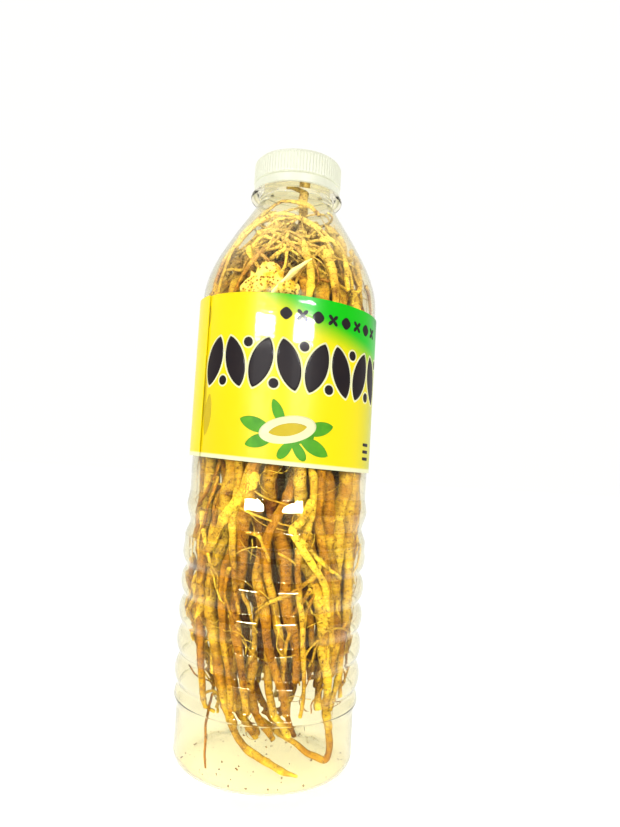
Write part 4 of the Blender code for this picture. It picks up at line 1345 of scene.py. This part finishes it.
# %% [markdown]
# ## Clear plastic
#
# The wall is clear with a faint warm tint that deepens where it is seen edge on. The plastic bends
# light less in the neck than in the body here, because the thick threaded neck would otherwise hide
# the root in it. Light from a lamp goes straight through, so what is inside is lit without noise. A
# faint ripple in the normal stands for the unevenness of blown plastic.

# %% Clear plastic
CLEAR_TINT, CLEAR_EDGE, CLEAR_GLOSS = (0.895, 0.860, 0.705), (0.60, 0.57, 0.37), (1.0, 0.88, 0.48, 1.0)
CLEAR_SHADOW = (0.97, 0.97, 0.92, 1.0)
BODY_IOR, NECK_IOR, NECK_FROM, NECK_TO = 1.33, 1.15, 0.190, 0.199


def clear_plastic():
    """Clear blown plastic: a glassy shader for what is seen, and a plain clear one for shadow rays."""
    made, tree, shader = material("clear_plastic")
    slanted = ramp(tree, node(tree, "LayerWeight", Blend=0.5).outputs["Facing"], 0.62, 0.97)
    marks = effect(tree, SCUFFS, Scale=75.0)["Marks"]
    ripple = cloudy(tree, object_place(tree), 95.0, 2.0)
    dress(
        tree,
        shader,
        Base_Color=blend(tree, slanted, CLEAR_TINT, CLEAR_EDGE),
        Transmission_Weight=1.0,
        Specular_Tint=CLEAR_GLOSS,
        Roughness=weigh(tree, marks, 0.012, 0.07),
        IOR=ramp(tree, object_height(tree), NECK_FROM, NECK_TO, BODY_IOR, NECK_IOR),
        Normal=bumped(tree, ripple, 0.07, 0.0003),
    )
    film = node(tree, "BsdfTransparent", CLEAR_SHADOW)
    shadow = node(tree, "LightPath").outputs["Is Shadow Ray"]
    chosen = node(tree, "MixShader", shadow, shader.outputs[0], film.outputs[0])
    tree.links.new(chosen.outputs[0], tree.nodes["Material Output"].inputs["Surface"])
    return made


clear = clear_plastic()
bottle_mesh = faced_out(turned("bottle_wall", bottle_profile, BOTTLE_SIDES))
show("bottle_wall", bottle_mesh, clear, "bottle_body", ["bottle"])
neck_thread = thread("neck_thread", NECK_RADIUS, NECK_THREAD_CREST, NECK_THREAD_Z)
show("neck_thread", neck_thread, clear, "bottle_body")
print("bottle faces:", len(bottle_mesh.polygons))

# %% [markdown]
# ## The cap and its band
#
# The cap is moulded in a cream-white plastic that lets a little light into it. Its finish paints a faint
# glow on all of it, band, thread and sealing disc too, and a brighter painted glow in the cap's hollow,
# standing in for light that comes through. Its skirt has a fine knurl and its top edge is rounded. The band
# that seals it sits just below, parted from it by a line.

# %% Cap plastic
CAP_WHITE, CAP_RUBBED = (0.615, 0.630, 0.50), (0.55, 0.56, 0.43)
# Painted glow: the plastic's own emission, brighter in the hollow inside the skirt.
PAINTED_GLOW_OUTSIDE, PAINTED_GLOW_INSIDE = (1.0, 1.0, 0.80), (1.0, 1.0, 1.0)
HOLLOW_FROM, HOLLOW_TO = 0.0152, 0.0149


def cap_plastic_painted_glow():
    """Cream plastic with a soft sheen, a little subsurface light and faint scuffs, a painted glow, brighter
    in its hollow.
    """
    made, tree, shader = material("cap_plastic_painted_glow")
    marks = effect(tree, SCUFFS, Scale=130.0)["Marks"]
    flat = node(tree, "VectorMath", object_place(tree), (1.0, 1.0, 0.0), operation="MULTIPLY")
    from_axis = node(tree, "VectorMath", flat.outputs["Vector"], operation="LENGTH").outputs["Value"]
    hollow = ramp(tree, from_axis, HOLLOW_FROM, HOLLOW_TO)
    dress(
        tree,
        shader,
        Base_Color=blend(tree, marks, CAP_WHITE, CAP_RUBBED),
        Roughness=weigh(tree, marks, 0.34, 0.52),
        Subsurface_Weight=0.25,
        Subsurface_Radius=(1.0, 0.95, 0.8),
        Subsurface_Scale=0.0012,
        # Painted glow: emission stands in for light coming through the plastic.
        Emission_Strength=weigh(tree, hollow, 0.22, 0.62),
        Emission_Color=blend(tree, hollow, PAINTED_GLOW_OUTSIDE, PAINTED_GLOW_INSIDE),
    )
    return made


CAP_RADIUS, CAP_LOW, CAP_HIGH, CAP_TOP_WALL = 0.0158, 0.2059, 0.2145, 0.0014
KNURL_COUNT, KNURL_HEIGHT, KNURL_STEPS = 84, 0.00033, 6
BAND_RADIUS, BAND_INNER, BAND_LIP = 0.0160, 0.0147, 0.0136
BAND_LOW, BAND_HIGH = 0.2023, 0.2055
CAP_ROUND = 0.0013

cap_white_painted_glow = cap_plastic_painted_glow()


def cap_mesh():
    """The cap: its profile turned round, with ridges |cos a|^0.7 on the skirt, faded out above."""
    inner_top = CAP_HIGH - CAP_TOP_WALL
    edge = CAP_RADIUS - CAP_ROUND
    top = np.stack([np.linspace(0.0, edge - 0.0002, 12), np.full(12, CAP_HIGH)], axis=1)
    top[:, 1] -= 0.00012 * (1 - np.abs(np.linspace(-1, 1, 12))) ** 0.5
    shoulder_round = corner(edge, CAP_HIGH - CAP_ROUND, CAP_ROUND, 0, 9)[::-1]
    down = np.linspace(CAP_HIGH - CAP_ROUND - 0.0002, CAP_LOW + 0.0003, 14)
    skirt = np.stack([np.full(14, CAP_RADIUS), down], axis=1)
    foot = [(CAP_RADIUS - 0.0003, CAP_LOW), (CAP_INNER + 0.0002, CAP_LOW), (CAP_INNER, CAP_LOW + 0.0002)]
    hollow = [(CAP_INNER, inner_top - 0.0003), (CAP_INNER - 0.0003, inner_top), (0.0, inner_top)]
    profile = np.concatenate([top, shoulder_round, skirt, foot, hollow])
    sides = KNURL_COUNT * KNURL_STEPS
    angle = 2 * math.pi * np.arange(sides) / sides
    ridge = np.abs(np.cos(0.5 * KNURL_COUNT * angle)) ** 0.7
    change = np.zeros((len(profile), sides))
    first = len(top)
    last = len(top) + len(shoulder_round) + len(skirt)
    strength = eased(CAP_HIGH - profile[first:last, 1], 0.0006, 0.0016)
    change[first:last] = KNURL_HEIGHT * ridge * strength[:, None]
    return faced_out(turned("cap_shell", profile, sides, radius_change=change))


def band_mesh():
    """The seal band: a closed ring with a lip inside at its foot and low ridges outside."""
    lip_top = BAND_LOW + 0.0011
    up = np.linspace(BAND_LOW + 0.0003, BAND_HIGH - 0.0002, 8)
    outside = np.stack([np.full(8, BAND_RADIUS), up], axis=1)
    profile = np.concatenate([
        [(BAND_RADIUS - 0.0003, BAND_LOW)],
        outside,
        [(BAND_RADIUS - 0.0002, BAND_HIGH), (BAND_INNER, BAND_HIGH), (BAND_INNER, lip_top + 0.0004)],
        [(BAND_LIP, lip_top), (BAND_LIP, BAND_LOW)],
    ])
    return faced_out(turned("seal_band_ring", profile, 160, around_profile=True))


show("cap_shell", cap_mesh(), cap_white_painted_glow, "cap_body", ["cap"])
cap_thread = thread("cap_thread", CAP_INNER, CAP_THREAD_CREST, NECK_THREAD_Z + 0.5 * THREAD_SPACING)
show("cap_thread", cap_thread, cap_white_painted_glow, "cap_body")
band = show("seal_band_ring", band_mesh(), cap_white_painted_glow, "bottle_body", ["seal_band"])
band.data.set_sharp_from_angle(angle=math.radians(40))

# %% The sealing disc
LINER_RADIUS, LINER_LOW, LINER_HIGH = 0.0140, 0.21255, 0.21285


def liner_mesh():
    """The thin disc under the cap's top, with a softly rounded rim."""
    middle, half = 0.5 * (LINER_LOW + LINER_HIGH), 0.5 * (LINER_HIGH - LINER_LOW)
    turn = np.linspace(-math.pi / 2, math.pi / 2, 7)
    rim = np.stack([LINER_RADIUS - half + half * np.cos(turn), middle + half * np.sin(turn)], axis=1)
    return faced_out(turned("liner_disc", np.concatenate([[(0.0, LINER_LOW)], rim, [(0.0, LINER_HIGH)]]), 96))


show("liner_disc", liner_mesh(), cap_white_painted_glow, "liner_body", ["cap_liner"])
print("cap, band and liner made")

# %% [markdown]
# ## The label
#
# The label is one sheet wrapped round the panel, its end lying over its start. Its UV map runs once
# round (u) and from its lower to its upper edge (v), and the colours follow that map: printed yellow,
# with a green sweep that comes in from the upper right, amber at the lower left and a pale border, and on
# the right, where the sheet turns away, painted shade as an olive band and a deeper green.
# Shallow wrinkles stretch the reflections in the film's gloss.

# %% Label sheet
LABEL_LOW, LABEL_HIGH = 0.1029, 0.1578
LABEL_GAP, LABEL_SHEET = 0.0003, 0.0003
LABEL_START, LABEL_SWEEP = math.radians(201), math.radians(372)
LABEL_SLANT = 0.044
LABEL_BASE = PANEL_RADIUS + LABEL_GAP


def label_radius(turned_by):
    """The sheet's inner radius after a turn: constant, then one sheet and a gap more where it overlaps."""
    return LABEL_BASE + (LABEL_SHEET + LABEL_GAP) * eased(turned_by, math.radians(318), math.radians(358))


def on_label(turned_by, height, proud):
    """Points on the label's outside: (r cos, r sin, height - slant * x), `proud` of its face."""
    radius = label_radius(turned_by) + LABEL_SHEET + proud
    angle = LABEL_START + turned_by
    x, y = radius * np.cos(angle), radius * np.sin(angle)
    return np.stack([x, y, height - LABEL_SLANT * x], axis=-1)


def label_mesh():
    """A closed thin sheet: outside and inside grids with one rim, and a UV map from turn and height."""
    steps, rows = 248, 12
    turned_by = LABEL_SWEEP * np.arange(steps + 1)[:, None] / steps
    height = np.linspace(LABEL_LOW, LABEL_HIGH, rows + 1)
    high = np.concatenate([height, height[::-1]])
    proud = np.repeat([0.0, -LABEL_SHEET], rows + 1)
    points = on_label(turned_by, high, proud)
    quads = grid_quads(steps + 1, len(high), True)
    count = len(high)
    ends = []
    for first, flip in ((0, False), (steps * count, True)):
        low, top = np.arange(rows), np.arange(rows)[::-1] + rows + 1
        strip = first + np.stack([low, low + 1, top, top + 1], axis=1)
        ends.append(strip[:, ::-1] if flip else strip)
    mesh = make_mesh("label_sheet", points.reshape(-1, 3), np.concatenate([quads, *ends]))
    u = np.repeat(turned_by / LABEL_SWEEP, count, axis=1).ravel()
    v = np.tile((high - LABEL_LOW) / (LABEL_HIGH - LABEL_LOW), steps + 1)
    corners = np.empty(len(mesh.loops), np.int32)
    mesh.loops.foreach_get("vertex_index", corners)
    layer = mesh.uv_layers.new(name="print")
    layer.data.foreach_set("uv", np.stack([u, v], axis=1)[corners].astype(np.float32).ravel())
    mesh.set_sharp_from_angle(angle=math.radians(50))
    return faced_out(mesh)


# %% Printed colours and painted shade
# The deep green and the olive are painted shade on the label's right side. The other colours are print.
YELLOW, GREEN, DEEP_GREEN_PAINTED_SHADE = (0.98, 0.80, 0.0), (0.0, 0.58, 0.0), (0.0, 0.22, 0.03)
AMBER, OLIVE_PAINTED_SHADE, CREAM = (0.93, 0.72, 0.0), (0.55, 0.60, 0.01), (0.93, 0.93, 0.55)
# The green sweep's lower edge, as (u, v) along the label. Beyond v = 1 it leaves the label.
SWEEP_EDGE = (
    (0.0, 1.25), (1.0, 1.25), (0.10, 1.15), (0.14, 1.02), (0.162, 0.96), (0.189, 0.91), (0.225, 0.83),
    (0.284, 0.765), (0.352, 0.71), (0.42, 0.68), (0.52, 0.78), (0.62, 1.20),
)
EDGE_TOP = 1.25


def mixed_sum(tree, u, v, across, up, offset):
    """across * u + up * v + offset, as a node output."""
    return calc(tree, "MULTIPLY_ADD", v, up, calc(tree, "MULTIPLY_ADD", u, across, offset))


def between(tree, source, rise_from, rise_to, fall_from, fall_to):
    """1 between two smooth steps, one up and one down."""
    rise, fall = ramp(tree, source, rise_from, rise_to), ramp(tree, source, fall_to, fall_from)
    return calc(tree, "MULTIPLY", rise, fall)


def sweep_edge(tree, u):
    """The height of the green sweep's lower edge over u, from the table above."""
    curve = node(tree, "FloatCurve", Value=u)
    points = curve.mapping.curves[0].points
    for number, (place, level) in enumerate(SWEEP_EDGE):
        if number < 2:
            points[number].location = (place, level / EDGE_TOP)
        else:
            points.new(place, level / EDGE_TOP)
    curve.mapping.update()
    return curve.outputs["Value"]


def label_colour(tree):
    """The film's printed colours and the painted shade on its right. Each comes in over a slanting smooth
    step of the UV map.
    """
    split = node(tree, "SeparateXYZ", node(tree, "UVMap", uv_map="print").outputs["UV"])
    u, v = split.outputs["X"], split.outputs["Y"]
    lower_left = ramp(tree, mixed_sum(tree, u, v, -3.2, -0.8, 0.95), 0.0, 0.75)
    colour = blend(tree, lower_left, YELLOW, AMBER)
    # Painted shade: an olive band where the sheet turns away on the right.
    colour = blend(tree, between(tree, u, 0.30, 0.42, 0.46, 0.58), colour, OLIVE_PAINTED_SHADE)
    above = calc(tree, "MULTIPLY_ADD", sweep_edge(tree, u), -EDGE_TOP, v)
    colour = blend(tree, ramp(tree, above, -0.09, 0.10), colour, GREEN)
    # Painted shade: deep green over the green sweep in the same band.
    shaded = between(tree, u, 0.32, 0.42, 0.46, 0.56)
    colour = blend(tree, calc(tree, "MULTIPLY", ramp(tree, above, 0.10, 0.30), shaded), colour, DEEP_GREEN_PAINTED_SHADE)
    return blend(tree, ramp(tree, v, 0.030, 0.018), colour, CREAM)


def label_print():
    """Glossy printed film with faint scuffs, and wrinkles in its gloss."""
    made, tree, shader = material("label_print")
    creased = node(tree, "Mapping", object_place(tree), Scale=(1.0, 1.0, 2.6)).outputs[0]
    dress(
        tree,
        shader,
        Base_Color=label_colour(tree),
        Roughness=weigh(tree, effect(tree, SCUFFS, Scale=110.0)["Marks"], 0.34, 0.50),
        Specular_IOR_Level=0.12,
        Coat_Weight=0.22,
        Coat_Roughness=0.06,
        Coat_Normal=bumped(tree, cloudy(tree, creased, 70.0, 3.0, Distortion=0.8), 0.10, 0.0008),
    )
    return made


show("label_sheet", label_mesh(), label_print(), "bottle_body", ["label"])
print("label made")

# %% [markdown]
# ## Printed motifs
#
# A motif is a closed outline filled with shrinking copies of itself, then bent round the label: its
# sideways place becomes a turn about the axis and its upright place a height. It stands a few
# hundredths of a millimetre off the label, like thick ink. Dark leaves and dots zigzag along the
# label's middle, small ones follow its top, and a pale medallion with green leaves sits below.

# %% Motif outlines
AROUND = np.linspace(0.0, 2 * math.pi, 60, endpoint=False)


def leaf(length, width):
    """A pointed oval: (length/2 cos t, width/2 sin t |sin t|^0.5)."""
    across = np.sin(AROUND) * np.abs(np.sin(AROUND)) ** 0.5
    return np.stack([0.5 * length * np.cos(AROUND), 0.5 * width * across], axis=1)


def rounded(length, width, power=1.0):
    """An ellipse with its coordinates raised to a power. A low power makes a bar with rounded corners."""
    c, s = np.cos(AROUND), np.sin(AROUND)
    a, b = np.sign(c) * np.abs(c) ** power, np.sign(s) * np.abs(s) ** power
    return np.stack([0.5 * length * a, 0.5 * width * b], axis=1)


def lobed(size, lobes):
    """A leaf with pointed lobes: its radius is size (0.30 + 0.70 |cos(lobes t / 2)|^1.6)."""
    reach = size * (0.30 + 0.70 * np.abs(np.cos(0.5 * lobes * AROUND)) ** 1.6)
    return np.stack([reach * np.cos(AROUND), reach * np.sin(AROUND)], axis=1)


# %% Motifs bent round the label
LABEL_FRONT = math.radians(270) - LABEL_START
INK = 0.00003
FILL_SHARES = np.array([1.0, 1.0, 0.88, 0.75, 0.62, 0.48, 0.33, 0.16])


def motif(outline, side, height, tilt, layer=1, grow=0.0):
    """Points, quads and triangles of a motif, `side` degrees from the front and tilted by `tilt` degrees."""
    c, s = math.cos(math.radians(tilt)), math.sin(math.radians(tilt))
    away = np.linalg.norm(outline, axis=1, keepdims=True)
    outline = outline * (1 + grow / away)
    flat = FILL_SHARES[:, None, None] * (outline @ np.array([[c, s], [-s, c]]))
    flat = np.concatenate([flat.reshape(-1, 2), [[0.0, 0.0]]])
    proud = np.full(len(flat), layer * INK)
    proud[: len(outline)] = -INK
    turned_by = LABEL_FRONT + math.radians(side) + flat[:, 0] / (LABEL_BASE + LABEL_SHEET)
    points = on_label(turned_by, height + flat[:, 1], proud)
    ring = (len(FILL_SHARES) - 1) * len(outline) + np.arange(len(outline))
    return points, grid_quads(len(FILL_SHARES), len(outline), True), fan(len(points) - 1, ring, False)


def ink(name, low, high):
    """Printing ink: two near colours clouded together, with the gloss of the film."""
    made, tree, shader = material(name)
    cloud = cloudy(tree, object_place(tree), 260.0, 3.0)
    dress(
        tree,
        shader,
        Base_Color=blend(tree, cloud, low, high),
        Roughness=0.5,
        Specular_IOR_Level=0.08,
        Coat_Weight=0.10,
        Coat_Roughness=0.06,
    )
    return made


# %% The label's design
MM = 0.001
BAND_HEIGHT, TOP_ROW_HEIGHT, MEDALLION_HEIGHT = 0.1350, 0.1515, 0.1135
# Leaves beside the medallion, as (side, height, tilt, length), and faint ones at the label's left, as
# (side, height, length). Heights and lengths are in millimetres, sides and tilts in degrees.
SIDE_LEAVES = ((-16, 1.5, 165, 11), (-13, -3.5, 200, 10), (21, 2.0, 15, 11), (19, -4.0, -25, 11))
FAINT_LEAVES = ((-60, 121, 20), (-52, 117, 14), (-66, 133, 16), (-58, 150, 9))

dark, pale, green, olive = [], [], [], []
for number, side in enumerate(np.arange(-48, 84, 16.5)):
    tilt = 90 + (16 if number % 2 else -16)
    tall = leaf(17.0 * MM, 7.4 * MM)
    pale.append(motif(tall, side, BAND_HEIGHT, tilt, layer=1, grow=0.7 * MM))
    dark.append(motif(tall, side, BAND_HEIGHT, tilt, layer=2))
    dot_height = BAND_HEIGHT + (6.4 * MM if number % 2 else -6.4 * MM)
    dot = rounded(3.2 * MM, 3.2 * MM)
    pale.append(motif(dot, side + 8.2, dot_height, 0, layer=1, grow=0.5 * MM))
    dark.append(motif(dot, side + 8.2, dot_height, 0, layer=2))
for number, side in enumerate(np.arange(-2, 74, 9.5)):
    shape = lobed(2.3 * MM, 4) if number % 2 else rounded(3.6 * MM, 3.6 * MM, 0.7)
    dark.append(motif(shape, side, TOP_ROW_HEIGHT, 45, layer=2))
for side, height, tilt, size in SIDE_LEAVES:
    shape = leaf(size * MM, 0.42 * size * MM)
    green.append(motif(shape, side, MEDALLION_HEIGHT + height * MM, tilt, layer=1))
green.append(motif(lobed(7.4 * MM, 5), 6, MEDALLION_HEIGHT - 2.6 * MM, 90, layer=1))
green.append(motif(leaf(9 * MM, 3.4 * MM), -3, MEDALLION_HEIGHT + 6.0 * MM, 115, layer=1))
pale.append(motif(rounded(19.0 * MM, 8.6 * MM), 3, MEDALLION_HEIGHT + 0.8 * MM, 14, layer=2))
olive.append(motif(leaf(12.5 * MM, 4.0 * MM), 3, MEDALLION_HEIGHT + 0.8 * MM, 14, layer=3))
for row in range(3):
    dark.append(motif(rounded(5.0 * MM, 1.1 * MM, 0.3), 64, 0.1125 - 2.4 * MM * row, 0, layer=2))
for side, height, tall in FAINT_LEAVES:
    olive.append(motif(leaf(tall * MM, 0.3 * tall * MM), side, height * MM, 84, layer=0.6))

INKS = {
    "print_dark": (dark, (0.010, 0.006, 0.010), (0.020, 0.012, 0.012)),
    "print_pale": (pale, (0.90, 0.88, 0.42), (0.93, 0.92, 0.60)),
    "print_green": (green, (0.03, 0.24, 0.01), (0.14, 0.52, 0.02)),
    "print_olive": (olive, (0.58, 0.42, 0.01), (0.74, 0.56, 0.02)),
}
for name, (motifs, low, high) in INKS.items():
    printed = faced_out(make_mesh(name, *joined(motifs)))
    show(name, printed, ink(name, low, high), "bottle_body")
print("motifs:", sum(len(motifs) for motifs, _, _ in INKS.values()))

# %% [markdown]
# ## Floor and the finished scene
#
# A very pale floor runs off into the white surroundings. It isn't part of the object.

# %% Floor
FLOOR_PALE, FLOOR_WHITE, FLOOR_GLOW = (0.95, 0.95, 0.935), (0.98, 0.98, 0.97), (1.0, 1.0, 0.98, 1.0)


def floor_finish():
    """Matt white with the faintest mottling, lifted a little as an overexposed table is."""
    made, tree, shader = material("floor_white")
    cloud = cloudy(tree, object_place(tree), 3.0, 3.0)
    dress(
        tree,
        shader,
        Base_Color=blend(tree, cloud, FLOOR_PALE, FLOOR_WHITE),
        Roughness=0.55,
        Emission_Color=FLOOR_GLOW,
        Emission_Strength=0.30,
    )
    return made


def floor_mesh(size, cells=24):
    """A square grid on the ground."""
    line = np.linspace(-size, size, cells + 1)
    x, y = np.meshgrid(line, line, indexing="ij")
    points = np.stack([x, y, np.full_like(x, -0.0002)], axis=-1).reshape(-1, 3)
    return make_mesh("floor", points, grid_quads(cells + 1, cells + 1, False))


floor = bpy.data.objects.new("floor", floor_mesh(3.0))
floor.data.materials.append(floor_finish())
bpy.context.scene.collection.objects.link(floor)
print("floor laid")
